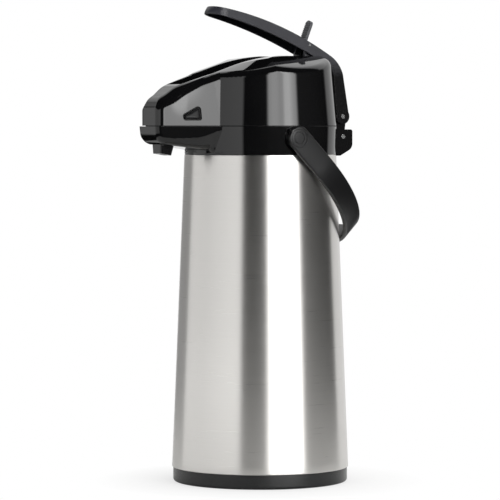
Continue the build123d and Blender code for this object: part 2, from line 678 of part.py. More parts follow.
def nozzle():
    """Tapered outlet with a neck through the floor of the nose and a flange that rests inside."""
    waist = NOSE_KEEL_ROOT_Z + NOZZLE_WAIST
    drift = -NOZZLE_SWEEP
    low = NOZZLE_TIP_Z - NOZZLE_SLANT
    upper = Plane.XY.offset(waist) * RectangleRounded(NOZZLE_TOP_WIDTH, NOZZLE_TOP_DEPTH, NOZZLE_CORNER)
    tip = RectangleRounded(NOZZLE_TIP_WIDTH, NOZZLE_TIP_DEPTH, NOZZLE_TIP_CORNER)
    lower = Plane.XY.offset(low) * Pos(0, drift) * tip
    body = Pos(0, NOZZLE_Y, 0) * loft([upper, lower])
    trim = block(-OPEN, OPEN, -OPEN, OPEN, -OPEN, 0)
    body -= Pos(0, NOZZLE_Y + drift, NOZZLE_TIP_Z) * Rot(-NOZZLE_MOUTH_TILT, 0, 0) * trim
    body += nozzle_neck(0, waist, NOZZLE_FLANGE_Z)
    body += nozzle_neck(NOZZLE_FLANGE, NOZZLE_FLANGE_Z, NOZZLE_FLANGE_Z + NOZZLE_FLANGE)
    body -= Pos(0, NOZZLE_Y, 0) * cylinder(NOZZLE_BORE, low - 1, PIPE_FOOT_Z)
    return body - pipe_bar(PIPE_RADIUS)


# Head

def head_radius(z):
    """Outer radius of the head's round wall at a height."""
    share = (z - HEAD_BOTTOM_Z) / (HEAD_TOP_Z - HEAD_BOTTOM_Z)
    return COLLAR_TOP_RADIUS + (HEAD_TOP_RADIUS - COLLAR_TOP_RADIUS) * share


def top_line():
    """Side view of everything below the top surface of the head and nose."""
    low = HEAD_BOTTOM_Z - 20
    rear = LID_PIN_Y + 12
    crown = FilletPolyline((rear, HEAD_TOP_Z), (HEAD_LEVEL_Y, HEAD_TOP_Z), (HEAD_BROW_Y, HEAD_BROW_Z),
                           (NOSE_TIP_Y, NOSE_TIP_Z), (NOSE_CHEEK_Y, NOSE_CHEEK_Z), (NOSE_FRONT_Y, NOSE_FACE_Z),
                           (NOSE_FRONT_Y, low), radius=[HEAD_LEVEL_CURVE, HEAD_BROW_CURVE, NOSE_TIP_CURVE,
                                                        NOSE_CHEEK_CURVE, NOSE_FACE_CURVE])
    close = Polyline((NOSE_FRONT_Y, low), (rear, low), (rear, HEAD_TOP_Z))
    return make_face(crown.edges() + close.edges())


def crown_bar(radius, inset):
    """Long bar along Y whose top stands just above the level of its origin."""
    return Pos(0, 0, HEAD_CROWN_RISE - radius) * Rot(90, 0, 0) * Cylinder(radius - inset, 2 * radius)


def crown(inset):
    """Two long bars that round the top across its width, one along the level part and one down the slope."""
    fall = degrees(atan2(HEAD_TOP_Z - NOSE_TIP_Z, HEAD_LEVEL_Y - NOSE_TIP_Y))
    top = Pos(0, HEAD_LEVEL_Y, HEAD_TOP_Z)
    slope = top * Rot(fall, 0, 0)
    return (top * crown_bar(HEAD_CROWN_RADIUS, inset)) & (slope * crown_bar(SLOPE_CROWN_RADIUS, inset))


def head_outline(inset):
    """Solid outline of the head and its nose, drawn in by inset."""
    side = top_line()
    if inset:
        side = offset(side, amount=-inset)
    under = slab(side, 2 * OPEN) & crown(inset)
    above = HEAD_TOP_Z + 5
    cone = lathe([
        (0, HEAD_BOTTOM_Z), (head_radius(HEAD_BOTTOM_Z) - inset, HEAD_BOTTOM_Z),
        (head_radius(above) - inset, above), (0, above),
    ])
    dome = cone & under
    rim = []
    for edge in dome.edges():
        middle = edge.position_at(0.5)
        reach = sqrt(middle.X ** 2 + middle.Y ** 2)
        if middle.Z > HEAD_BOTTOM_Z + 20 and abs(reach - head_radius(middle.Z) + inset) < 0.3:
            rim.append(edge)
    dome = fillet(rim, HEAD_EDGE_RADIUS - inset)
    nose = nose_column(inset, HEAD_BOTTOM_Z, HEAD_TOP_Z) & under
    nose = round_sides(nose, NOSE_SHOULDER - inset, HEAD_BOTTOM_Z, inset)
    return dome + nose


def groove(spread):
    """Space for the lever along the top of the head and down its rear wall."""
    half = GROOVE_HALF_WIDTH + spread
    floor = GROOVE_FLOOR_Z - spread
    side = make_face(Polyline(
        (GROOVE_FRONT_Y - 30, floor), (SLOT_TOP_Y - spread, floor),
        (SLOT_FOOT_Y - spread, SLOT_FOOT_Z - spread), (95, SLOT_FOOT_Z - spread), (95, HEAD_TOP_Z + 20),
        (GROOVE_FRONT_Y - 30, HEAD_TOP_Z + 20), close=True))
    return slab(side, half)


def lug():
    """Rear lug of the head that holds the lid pin and the lever pin."""
    plates = Part()
    plates += cross_pin(LUG_TOP_RADIUS, -LUG_HALF_WIDTH, LUG_HALF_WIDTH, LEVER_PIN_Y, LEVER_PIN_Z)
    plates += cross_pin(LUG_RADIUS, -LUG_HALF_WIDTH, LUG_HALF_WIDTH, LID_PIN_Y, LID_PIN_Z)
    wall = COLLAR_TOP_RADIUS - 2
    web = make_face(Polyline(
        (wall, HEAD_BOTTOM_Z + 1), (wall, LEVER_PIN_Z + LUG_RADIUS), (LEVER_PIN_Y, LEVER_PIN_Z + LUG_RADIUS),
        (LEVER_PIN_Y + 5, LEVER_PIN_Z - 3), (LID_PIN_Y + 5.5, LID_PIN_Z + 1), (LID_PIN_Y - 1, LID_PIN_Z + 2),
        (wall + 4, HEAD_BOTTOM_Z + 1), close=True))
    plates += slab(web, LUG_HALF_WIDTH)
    plates -= cross_pin(HINGE_PIN_RADIUS, -LEVER_HALF_WIDTH, LEVER_HALF_WIDTH, LEVER_PIN_Y, LEVER_PIN_Z)
    return plates - cross_pin(HINGE_PIN_RADIUS + RUN, -LEVER_HALF_WIDTH, LEVER_HALF_WIDTH, LID_PIN_Y, LID_PIN_Z)


def button_plan(grow):
    """Rounded triangle of a button, drawn along Y and Z, grown outward."""
    half = BUTTON_LENGTH / 2
    low, high = BUTTON_LOW_Z, BUTTON_LOW_Z + BUTTON_HEIGHT + 2.0
    front, rear = BUTTON_Y - half, BUTTON_Y + half
    middle = high - BUTTON_SLOPE * BUTTON_LENGTH
    face = rounded_polygon([(rear, low, 2.0), (rear, high, 3.0), (front, middle, 2.2), (front, low, 2.4)])
    return offset(face, amount=grow) if grow else face


def plunger_opening(grow):
    return block(-PLUNGER_HALF_WIDTH - grow, PLUNGER_HALF_WIDTH + grow, PLUNGER_FRONT_Y - grow,
                 PLUNGER_REAR_Y + grow, GROOVE_CEILING_Z - 5, GROOVE_FLOOR_Z + 5)


def lid_screw_places():
    return [(LID_SCREW_RADIUS * sin(radians(turn)), -LID_SCREW_RADIUS * cos(radians(turn)))
            for turn in LID_SCREW_TURNS]


def head_cover():
    body = head_outline(0) - (head_outline(PLASTIC_WALL) - groove(PLASTIC_WALL))
    body -= cylinder(COLLAR_TOP_RADIUS - PLASTIC_WALL, HEAD_BOTTOM_Z - 1, HEAD_BOTTOM_Z + 0.5)
    body -= groove(0)
    body -= plunger_opening(FREE)
    well = slab(button_plan(0), OPEN)
    hole = slab(button_plan(FREE - BUTTON_RIM), OPEN)
    floor = nose_column(BUTTON_WELL, HEAD_BOTTOM_Z, HEAD_TOP_Z)
    body -= well - floor
    body -= hole
    for x, y in lid_screw_places():
        post = Pos(x, y, 0) * cylinder(LID_POST_RADIUS, LID_FLOOR_TOP_Z, HEAD_TOP_Z)
        body += post & head_outline(PLASTIC_WALL / 2)
        body -= Pos(x, y, 0) * cylinder(SCREW_RADIUS, LID_FLOOR_TOP_Z, LID_FLOOR_TOP_Z + SCREW_LENGTH)
    return body + lug()


def lid_floor():
    nose = nose_plan(PLASTIC_WALL + SLIP)
    nose = fillet(nose.vertices().group_by(Axis.Y)[0], NOSE_SHOULDER - PLASTIC_WALL)
    plan = Circle(head_radius(LID_FLOOR_TOP_Z) - PLASTIC_WALL - SLIP) + nose
    floor = column(plan, LID_FLOOR_Z, LID_FLOOR_TOP_Z)
    slot = HOOK_THICKNESS / 2 + FREE
    for side in (-1, 1):
        inner, outer = side * (HOOK_X - slot - BUTTON_TRAVEL), side * (HOOK_X + slot)
        floor -= block(min(inner, outer), max(inner, outer), BUTTON_Y - HOOK_HALF_WIDTH - FREE,
                       BUTTON_Y + HOOK_HALF_WIDTH + FREE, LID_FLOOR_Z - 1, LID_FLOOR_TOP_Z + 1)
    for x, y in lid_screw_places():
        floor -= Pos(x, y, 0) * cylinder(SCREW_RADIUS, LID_FLOOR_Z - 1, LID_FLOOR_TOP_Z + 1)
    floor -= Pos(0, BELLOWS_Y, 0) * cylinder(VALVE_RADIUS / 3, LID_FLOOR_Z - 1, LID_FLOOR_TOP_Z + 1)
    for turn in range(4):
        angle = radians(45 + 90 * turn)
        floor -= Pos(6 * cos(angle), BELLOWS_Y + 6 * sin(angle), 0) * cylinder(
            1.6, LID_FLOOR_Z - 1, LID_FLOOR_TOP_Z + 1)
    spine = block(-SPINE_HALF_WIDTH, SPINE_HALF_WIDTH, BUTTON_Y - SPINE_REACH, BUTTON_Y + SPINE_REACH,
                  LID_FLOOR_TOP_Z, BUTTON_LOW_Z + BUTTON_HEIGHT)
    pocket = cross_pin(BUTTON_SPRING_RADIUS + FREE, BUTTON_WEB / 2, SPINE_HALF_WIDTH + CUT, POST_Y, POST_Z)
    pocket += mirror(pocket, Plane.YZ)
    fold = BELLOWS_RADIUS - BELLOWS_FOLD
    seat = Pos(0, BELLOWS_Y, 0) * ring(fold - BELLOWS_WALL - 0.1, fold - BELLOWS_CUFF, LID_FLOOR_TOP_Z,
                                       LID_FLOOR_TOP_Z + BELLOWS_CUFF)
    return floor + (spine - pocket) + seat


def lid_screws():
    group = Part()
    for x, y in lid_screw_places():
        flipped = Rot(180, 0, 0) * screw(0, 0, 0)
        group += Pos(x, y, LID_FLOOR_Z) * flipped
    return group


def lid_gasket():
    low, high = DECK_TOP_Z + SEAT, LID_FLOOR_Z
    return ring(MOUTH_RADIUS + 6, MOUTH_RADIUS + 2, low, high)


def air_valve():
    flap = Pos(0, BELLOWS_Y, 0) * cylinder(VALVE_RADIUS, LID_FLOOR_Z - 1.0, LID_FLOOR_Z)
    stem = Pos(0, BELLOWS_Y, 0) * cylinder(VALVE_RADIUS / 3, LID_FLOOR_Z, LID_FLOOR_TOP_Z)
    knob = Pos(0, BELLOWS_Y, 0) * cylinder(VALVE_RADIUS / 3 + 1, LID_FLOOR_TOP_Z, LID_FLOOR_TOP_Z + 1.6)
    return flap + stem + knob


# Pump

def bellows():
    """Pleated rubber bellows between the lid floor and the pump plate."""
    low, high = LID_FLOOR_TOP_Z, PLATE_BOTTOM_Z
    outer, inner = BELLOWS_RADIUS, BELLOWS_RADIUS - BELLOWS_FOLD
    step = (high - low - 2 * BELLOWS_EDGE) / (2 * BELLOWS_FOLDS)
    outside = [(inner, low), (inner, low + BELLOWS_EDGE)]
    for fold in range(BELLOWS_FOLDS):
        start = low + BELLOWS_EDGE + 2 * fold * step
        outside.append((outer, start + step))
        outside.append((inner, start + 2 * step))
    outside.append((inner, high))
    inside = [(radius - BELLOWS_WALL, z) for radius, z in reversed(outside)]
    lip = ring(inner, inner - BELLOWS_CUFF, high - BELLOWS_WALL, high)
    return Pos(0, BELLOWS_Y, 0) * (lathe(outside + inside) + lip)


def pump_plate():
    plate = cylinder(BELLOWS_RADIUS - 1, PLATE_BOTTOM_Z, PLATE_TOP_Z)
    outer = SPRING_RADIUS - SPRING_WIRE - SPRING_PLAY
    guide = ring(outer, outer - SPRING_GUIDE_WALL, PLATE_BOTTOM_Z - SPRING_GUIDE_HEIGHT, PLATE_BOTTOM_Z)
    return Pos(0, BELLOWS_Y, 0) * (plate + guide)


def plunger():
    top = foot_bottom() - SEAT
    body = block(-PLUNGER_HALF_WIDTH, PLUNGER_HALF_WIDTH, PLUNGER_FRONT_Y, PLUNGER_REAR_Y, PLATE_TOP_Z, top)
    body = fillet(body.edges().filter_by(Axis.Z), 2.0)
    body -= block(-PLUNGER_SLOT_HALF_WIDTH, PLUNGER_SLOT_HALF_WIDTH, PLUNGER_FRONT_Y - 1, PLUNGER_REAR_Y + 1,
                  top - PLUNGER_SLOT_DEPTH, top + 1)
    return body


def coil_spring(radius, wire, turns, low, high):
    """Compression spring of round wire standing between two heights."""
    pitch = (high - low - wire) / turns
    path = Pos(0, 0, low + wire / 2) * Helix(pitch, high - low - wire, radius - wire / 2)
    profile = Plane(path @ 0, z_dir=path % 0) * Circle(wire / 2)
    return sweep(profile, path, is_frenet=True)


def return_spring():
    return Pos(0, BELLOWS_Y, 0) * coil_spring(
        SPRING_RADIUS, SPRING_WIRE, SPRING_TURNS, LID_FLOOR_TOP_Z, PLATE_BOTTOM_Z)


# Lever

def foot_bottom():
    return FOOT_Z - FOOT_RADIUS


def lever_side(skin):
    """Side view of the lever. With skin, the space below its top and rear skin."""
    tip = (LEVER_TIP_Y + skin, LEVER_TIP_TOP_Z - skin)
    crown = (LEVER_CROWN_Y, LEVER_CROWN_Z - skin)
    elbow = (LEVER_ELBOW_Y - skin / 2, LEVER_ELBOW_Z - skin)
    outside = LEVER_PIN_Y + LEVER_BOSS_RADIUS - LEVER_SHIN_TAPER - skin
    low = LEVER_PIN_Z - 30
    top = ThreePointArc(tip, crown, elbow)
    bend = TangentArc(elbow, (LEVER_NECK_Y - skin, LEVER_NECK_Z - skin / 2), tangent=top % 1)
    back = Line(bend @ 1, (outside, LEVER_PIN_Z))
    if skin:
        close = Polyline(back @ 1, (outside, low), (LEVER_TIP_Y + skin, low), tip)
        return make_face(top.edges() + bend.edges() + back.edges() + close.edges())
    inner = (LEVER_ELBOW_Y - LEVER_INNER_ELBOW, LEVER_ELBOW_Z - LEVER_ELBOW_DEPTH)
    under = ThreePointArc((LEVER_TIP_Y, LEVER_TIP_TOP_Z - LEVER_TIP_DEPTH),
                          (LEVER_CROWN_Y, LEVER_CROWN_Z - LEVER_CROWN_DEPTH), inner)
    knee = TangentArc(inner, (LEVER_KNEE_Y, LEVER_KNEE_Z), tangent=under % 1)
    shin = Line(knee @ 1, (LEVER_PIN_Y - LEVER_BOSS_RADIUS + LEVER_SHIN_TAPER, LEVER_PIN_Z))
    ends = Line(tip, under @ 0).edges() + Line(shin @ 1, back @ 1).edges()
    outer_edges = top.edges() + bend.edges() + back.edges()
    return make_face(outer_edges + under.edges() + knee.edges() + shin.edges() + ends)


def lever_plan(inset):
    """Plan of the lever with its round tip, drawn in by inset."""
    half = LEVER_HALF_WIDTH - inset
    centre = LEVER_TIP_Y + LEVER_HALF_WIDTH
    rear = LEVER_PIN_Y + 12
    return Pos(0, centre) * Circle(half) + Pos(0, (centre + rear) / 2) * Rectangle(2 * half, rear - centre)


def lever():
    body = slab(lever_side(0), LEVER_HALF_WIDTH + 1)
    body &= column(lever_plan(0), LEVER_PIN_Z - 12, LEVER_TIP_TOP_Z + 1)
    body += cross_pin(LEVER_BOSS_RADIUS, -LEVER_HALF_WIDTH, LEVER_HALF_WIDTH, LEVER_PIN_Y, LEVER_PIN_Z)
    hollow = slab(lever_side(LEVER_SKIN), LEVER_HALF_WIDTH - LEVER_FLANGE)
    hollow &= column(lever_plan(LEVER_FLANGE), LEVER_PIN_Z - 40, LEVER_TIP_TOP_Z + 1)
    body -= hollow
    body -= cross_pin(LEVER_BOSS_RADIUS + 1, -LUG_HALF_WIDTH - KNUCKLE_GAP, LUG_HALF_WIDTH + KNUCKLE_GAP,
                      LEVER_PIN_Y, LEVER_PIN_Z)
    for side in (-1, 1):
        rib = make_face(Polyline((FOOT_Y - 5.9, FOOT_Z), (FOOT_Y + 5.9, FOOT_Z), (FOOT_Y + 8, FOOT_Z + 20),
                                 (FOOT_Y - 4, FOOT_Z + 20), close=True))
        foot = slab(rib, FOOT_OUTER_X) + cross_pin(FOOT_RADIUS, -FOOT_OUTER_X, FOOT_OUTER_X, FOOT_Y, FOOT_Z)
        low, high = sorted((side * FOOT_INNER_X, side * FOOT_OUTER_X))
        foot &= block(low, high, FOOT_Y - 20, FOOT_Y + 20, FOOT_Z - 20, FOOT_Z + 30)
        foot &= slab(lever_side(LEVER_SKIN / 2), LEVER_HALF_WIDTH)
        body += foot
    reach = TAB_HUB_RADIUS + FREE
    body -= block(-TAB_WIDTH / 2 - FREE, TAB_WIDTH / 2 + FREE, TAB_PIN_Y - reach, TAB_PIN_Y + reach + 1.5,
                  TAB_PIN_Z - reach, TAB_PIN_Z + 20)
    body -= cross_pin(TAB_PIN_RADIUS, -LEVER_HALF_WIDTH - 1, LEVER_HALF_WIDTH + 1, TAB_PIN_Y, TAB_PIN_Z)
    wide = LEVER_HALF_WIDTH + CUT
    return body - cross_pin(HINGE_PIN_RADIUS + RUN, -wide, wide, LEVER_PIN_Y, LEVER_PIN_Z)


def lock_tab():
    """Ribbed tab that leans back by the lever's travel, so that it stands upright when the lever is down."""
    half = TAB_THICKNESS / 2
    body = block(-TAB_WIDTH / 2, TAB_WIDTH / 2, -half, half, -TAB_BELOW, TAB_ABOVE)
    corners = [edge for edge in body.edges().filter_by(Axis.Y) if edge.center().Z > 0]
    body = fillet(corners, TAB_WIDTH / 2 - 0.4)
    body += cross_pin(TAB_HUB_RADIUS, -TAB_WIDTH / 2, TAB_WIDTH / 2, 0, 0)
    body += block(-TAB_WIDTH / 2, TAB_WIDTH / 2, -TAB_TOE, 0, -TAB_BELOW, -TAB_BELOW + TAB_TOE_HEIGHT)
    for rib in range(TAB_RIB_COUNT):
        z = TAB_RIB_FOOT + TAB_RIB_PITCH * rib
        body -= block(-TAB_WIDTH, TAB_WIDTH, -half - CUT, -half + TAB_RIB_DEPTH, z, z + TAB_RIB_WIDTH)
    body -= cross_pin(TAB_PIN_RADIUS + RUN, -TAB_WIDTH, TAB_WIDTH, 0, 0)
    return Pos(0, TAB_PIN_Y, TAB_PIN_Z) * Rot(-LEVER_TRAVEL, 0, 0) * body


def tab_pin():
    return cross_pin(TAB_PIN_RADIUS, -LEVER_HALF_WIDTH, LEVER_HALF_WIDTH, TAB_PIN_Y, TAB_PIN_Z)


def lever_pin():
    return cross_pin(HINGE_PIN_RADIUS, -LEVER_HALF_WIDTH, LEVER_HALF_WIDTH, LEVER_PIN_Y, LEVER_PIN_Z)


def lid_pin():
    return cross_pin(HINGE_PIN_RADIUS, -HINGE_HALF_WIDTH, HINGE_HALF_WIDTH, LID_PIN_Y, LID_PIN_Z)


# Release buttons

def release_button(side):
    """Triangular button with its hook and spring post, made for the +X side and mirrored for the other."""
    body = extrude(Plane.YZ.offset(BUTTON_INNER_X) * button_plan(-BUTTON_RIM), amount=OPEN)
    body &= nose_column(BUTTON_SINK, HEAD_BOTTOM_Z, HEAD_TOP_Z)
    back = PLASTIC_WALL + SEAT
    flange = extrude(Plane.YZ.offset(BUTTON_INNER_X) * button_plan(BUTTON_RIM), amount=OPEN)
    behind = nose_column(back + BUTTON_FLANGE, HEAD_BOTTOM_Z, HEAD_TOP_Z)
    flange &= nose_column(back, HEAD_BOTTOM_Z, HEAD_TOP_Z) - behind
    hook = block(HOOK_X - HOOK_THICKNESS / 2, HOOK_X + HOOK_THICKNESS / 2, BUTTON_Y - HOOK_HALF_WIDTH,
                 BUTTON_Y + HOOK_HALF_WIDTH, HOOK_FOOT_Z, BUTTON_LOW_Z + 4)
    post = cross_pin(BUTTON_SPRING_RADIUS - BUTTON_SPRING_WIRE - 0.1, BUTTON_INNER_X - 5, BUTTON_INNER_X,
                     POST_Y, POST_Z)
    body += flange + hook + post
    return body if side > 0 else mirror(body, Plane.YZ)


def button_spring(side):
    seat = SPINE_HALF_WIDTH + CUT
    spring = coil_spring(BUTTON_SPRING_RADIUS, BUTTON_SPRING_WIRE, 6, 0, BUTTON_INNER_X - seat)
    placed = Pos(seat, POST_Y, POST_Z) * Rot(0, 90, 0) * spring
    return placed if side > 0 else mirror(placed, Plane.YZ)


# Bail handle

def bail_plan(half_span, bend):
    """Plan of a filled U: two straight arms along +Y closed by half an ellipse."""
    arms = Pos(0, BAIL_ARM / 2) * Rectangle(2 * half_span, BAIL_ARM)
    beyond = Pos(0, BAIL_ARM + bend) * Rectangle(2 * half_span, 2 * bend)
    return arms + (Pos(0, BAIL_ARM) * Ellipse(half_span, bend) & beyond)


def bail_handle():
    """Strip bent into a U, drawn hanging along +Y and then swung down behind the body."""
    half = BAIL_THICKNESS / 2
    plan = bail_plan(BAIL_OUTER, BAIL_BEND + half) - bail_plan(BAIL_INNER, BAIL_BEND - half)
    strip = extrude(plan, amount=BAIL_WIDTH / 2, both=True)
    for side in (-1, 1):
        low, high = sorted((side * BAIL_INNER, side * BAIL_OUTER))
        strip += cross_pin(BAIL_WIDTH / 2, low, high, 0, 0)
        tip = sorted((side * (BAIL_INNER - 1), side * (BAIL_INNER + BAIL_PIN_DEPTH)))
        strip -= cross_pin(BAIL_PIN_RADIUS + RUN, tip[0], tip[1], 0, 0)
    return Pos(0, BAIL_PIVOT_Y, BAIL_PIVOT_Z) * Rot(-BAIL_DROOP, 0, 0) * strip


def bail_pins():
    """Left and right pivots, held in the collar's bosses."""
    high = BAIL_INNER + BAIL_PIN_DEPTH - SEAT
    pin = cross_pin(BAIL_PIN_RADIUS, BAIL_PIN_ROOT_X, high, BAIL_PIVOT_Y, BAIL_PIVOT_Z)
    return pin + mirror(pin, Plane.YZ)


def write_all(pieces):
    os.makedirs("parts", exist_ok=True)
    for name, piece in pieces.items():
        export_step(piece, f"parts/{name}.step")


write_all({
    "outer_shell": outer_shell(),
    "thread_ring": thread_ring(),
    "base_cap": base_cap(),
    "foot_ring": foot_ring(),
    "flask_outer": flask_outer(),
    "flask_inner": flask_inner(),
    "flask_spacers": flask_spacers(),
    "liner_cushion": liner_cushion(),
    "neck_seal": neck_seal(),
    "collar": collar(),
    "mouth_deck": mouth_deck(),
    "deck_screws": deck_screws(),
    "tube_carrier": tube_carrier(),
    "carrier_seal": carrier_seal(),
    "dip_tube": dip_tube(),
    "spout_pipe": spout_pipe(),
    "nozzle": nozzle(),
    "bail_pins": bail_pins(),
    "lid_pin": lid_pin(),
    "head_cover": head_cover(),
    "lid_floor": lid_floor(),
    "lid_screws": lid_screws(),
    "lid_gasket": lid_gasket(),
    "air_valve": air_valve(),
    "bellows": bellows(),
    "return_spring": return_spring(),
    "lever_pin": lever_pin(),
    "pump_plate": pump_plate(),
    "plunger": plunger(),
    "lever": lever(),
    "tab_pin": tab_pin(),
    "lock_tab": lock_tab(),
    "release_button_left": release_button(-1),
    "release_button_right": release_button(1),
    "button_spring_left": button_spring(-1),
    "button_spring_right": button_spring(1),
    "bail_handle": bail_handle(),
})
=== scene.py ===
"""Studio picture of a lever pump airpot with a brushed steel body and a polished black head."""
import logging
import math
from dataclasses import dataclass
from enum import Enum
from typing import Any, Optional, Union

import bmesh
import bpy
import numpy as np
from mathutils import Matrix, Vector


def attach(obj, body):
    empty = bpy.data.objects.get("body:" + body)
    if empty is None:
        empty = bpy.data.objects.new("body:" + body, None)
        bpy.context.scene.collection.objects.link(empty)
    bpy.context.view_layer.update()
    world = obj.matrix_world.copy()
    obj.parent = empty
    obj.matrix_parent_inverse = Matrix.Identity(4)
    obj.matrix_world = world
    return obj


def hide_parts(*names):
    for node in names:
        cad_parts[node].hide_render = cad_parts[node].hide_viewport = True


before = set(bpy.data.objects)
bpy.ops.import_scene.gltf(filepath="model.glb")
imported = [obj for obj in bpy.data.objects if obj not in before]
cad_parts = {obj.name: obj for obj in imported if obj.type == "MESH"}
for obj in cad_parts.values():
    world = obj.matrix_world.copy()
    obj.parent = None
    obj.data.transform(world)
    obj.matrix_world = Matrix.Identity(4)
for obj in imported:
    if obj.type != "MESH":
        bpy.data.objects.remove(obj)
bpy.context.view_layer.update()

LOG = logging.getLogger("airpot")
MM = 0.001
WHITE = (1.0, 1.0, 1.0, 1.0)

# Sizes in millimetres that pieces share: y and z of the bail's pivots, and the nose seen from above, as y of
# its front, half its width there, and how much each side widens for a millimetre to the rear.
BAIL_PIVOT = (-5.9, 311.2)
NOSE_FRONT = -116.0
NOSE_HALF_WIDTH = 16.2
NOSE_SLOPE = math.tan(math.radians(15.8))

# What may feed a node's input: a node, which gives its first output, a socket, or a number.
Feed = Union[bpy.types.Node, bpy.types.NodeSocket, float]


def linear(code: str) -> tuple[float, float, float, float]:
    """Turn an sRGB hex colour into linear light.

    A channel c is c / 12.92 up to 0.04045, and from there (c + 0.055) / 1.055 to the power 2.4.

    Args:
        code: six hex digits after a hash sign.

    Returns:
        Linear red, green and blue, and an alpha of 1.
    """
    parts = [int(code[i:i + 2], 16) / 255 for i in (1, 3, 5)]
    red, green, blue = (c / 12.92 if c <= 0.04045 else ((c + 0.055) / 1.055) ** 2.4 for c in parts)
    return (red, green, blue, 1.0)


# Finishes

class Sheet:
    """A material's or world's node tree that is filled one node at a time."""

    def __init__(self, tree: bpy.types.NodeTree) -> None:
        """Start from an empty tree."""
        self.tree = tree
        tree.nodes.clear()

    def add(self, kind: str, inputs: Optional[dict[Any, Any]] = None, **settings: Any) -> bpy.types.Node:
        """Add one node with its settings and links.

        Args:
            kind: Blender's name for the node type.
            inputs: what feeds each input, by the input's name or number.
            settings: attributes of the node itself.

        Returns:
            The new node.
        """
        node = self.tree.nodes.new(kind)
        for name, value in settings.items():
            setattr(node, name, value)
        for key, value in (inputs or {}).items():
            if isinstance(value, bpy.types.Node):
                value = value.outputs[0]
            if isinstance(value, bpy.types.NodeSocket):
                self.tree.links.new(value, node.inputs[key])
            else:
                node.inputs[key].default_value = value
        return node


@dataclass(frozen=True)
class Finish:
    """A surface finish: colour, gloss, and the grain that the maker's tool or mould left.

    Lengths are in millimetres. The grain is a noise of that size that moves the surface in and out by depth
    and changes its roughness by spread. A broader noise of the size of cloud mixes the two tones.
    """

    name: str
    tone: str
    second_tone: str
    roughness: float
    spread: float = 0.03
    grain: float = 1.0
    depth: float = 0.01
    metallic: float = 0.0
    ior: float = 1.5
    edge: float = 0.0
    stretch: tuple[float, float, float] = (1.0, 1.0, 1.0)
    coat: float = 0.0
    cloud: float = 30.0

    def pattern(self, sheet: Sheet) -> tuple[bpy.types.Node, bpy.types.Node]:
        """Draw the two noises.

        Args:
            sheet: the material's node tree.

        Returns:
            The fine grain and the broad cloudiness, both from 0 to 1.
        """
        spot = sheet.add("ShaderNodeTexCoord").outputs["Object"]
        stretched = sheet.add("ShaderNodeMapping", {"Vector": spot, "Scale": self.stretch})
        fine = sheet.add("ShaderNodeTexNoise", {"Vector": stretched, "Scale": 1 / (self.grain * MM),
                                                "Detail": 3.0, "Roughness": 0.6})
        broad = sheet.add("ShaderNodeTexNoise", {"Vector": spot, "Scale": 1 / (self.cloud * MM),
                                                 "Detail": 2.0})
        return fine, broad

    def tones(self, sheet: Sheet, fine: Feed, broad: Feed) -> tuple[bpy.types.NodeSocket, bpy.types.Node]:
        """Mix the colour by the cloudiness and spread the roughness by the grain.

        Args:
            sheet: the material's node tree.
            fine: the grain.
            broad: the cloudiness.

        Returns:
            The colour and the roughness.
        """
        blend = sheet.add("ShaderNodeMapRange", {"Value": broad, "From Min": 0.35, "From Max": 0.65})
        colour = sheet.add("ShaderNodeMix", {"Factor": blend, 6: linear(self.tone),
                                             7: linear(self.second_tone)}, data_type="RGBA")
        rough = sheet.add("ShaderNodeMapRange", {"Value": fine, "From Min": 0.25, "From Max": 0.75,
                                                 "To Min": self.roughness - self.spread,
                                                 "To Max": self.roughness + self.spread})
        return colour.outputs[2], rough

    def normal(self, sheet: Sheet, fine: Feed) -> bpy.types.Node:
        """Turn the grain into relief, over edges that are rounded as a mould leaves them.

        Args:
            sheet: the material's node tree.
            fine: the grain.

        Returns:
            The relief's normal.
        """
        inputs: dict[Any, Any] = {"Height": fine, "Distance": self.depth * MM}
        if self.edge:
            inputs["Normal"] = sheet.add("ShaderNodeBevel", {"Radius": self.edge * MM}, samples=4)
        return sheet.add("ShaderNodeBump", inputs)

    def shader(self, sheet: Sheet) -> bpy.types.Node:
        """Build the surface shader.

        Args:
            sheet: the material's node tree.

        Returns:
            The shader.
        """
        fine, broad = self.pattern(sheet)
        colour, rough = self.tones(sheet, fine, broad)
        return sheet.add("ShaderNodeBsdfPrincipled", {
            "Base Color": colour, "Roughness": rough, "Metallic": self.metallic, "IOR": self.ior,
            "Coat Weight": self.coat, "Coat Roughness": 0.05, "Normal": self.normal(sheet, fine)})

    def material(self) -> bpy.types.Material:
        """Build the material, or give it again if it is built already.

        Returns:
            The material.
        """
        known = bpy.data.materials.get(self.name)
        if known:
            return known
        made = bpy.data.materials.new(self.name)
        made.use_nodes = True
        sheet = Sheet(made.node_tree)
        sheet.add("ShaderNodeOutputMaterial", {"Surface": self.shader(sheet)})
        return made


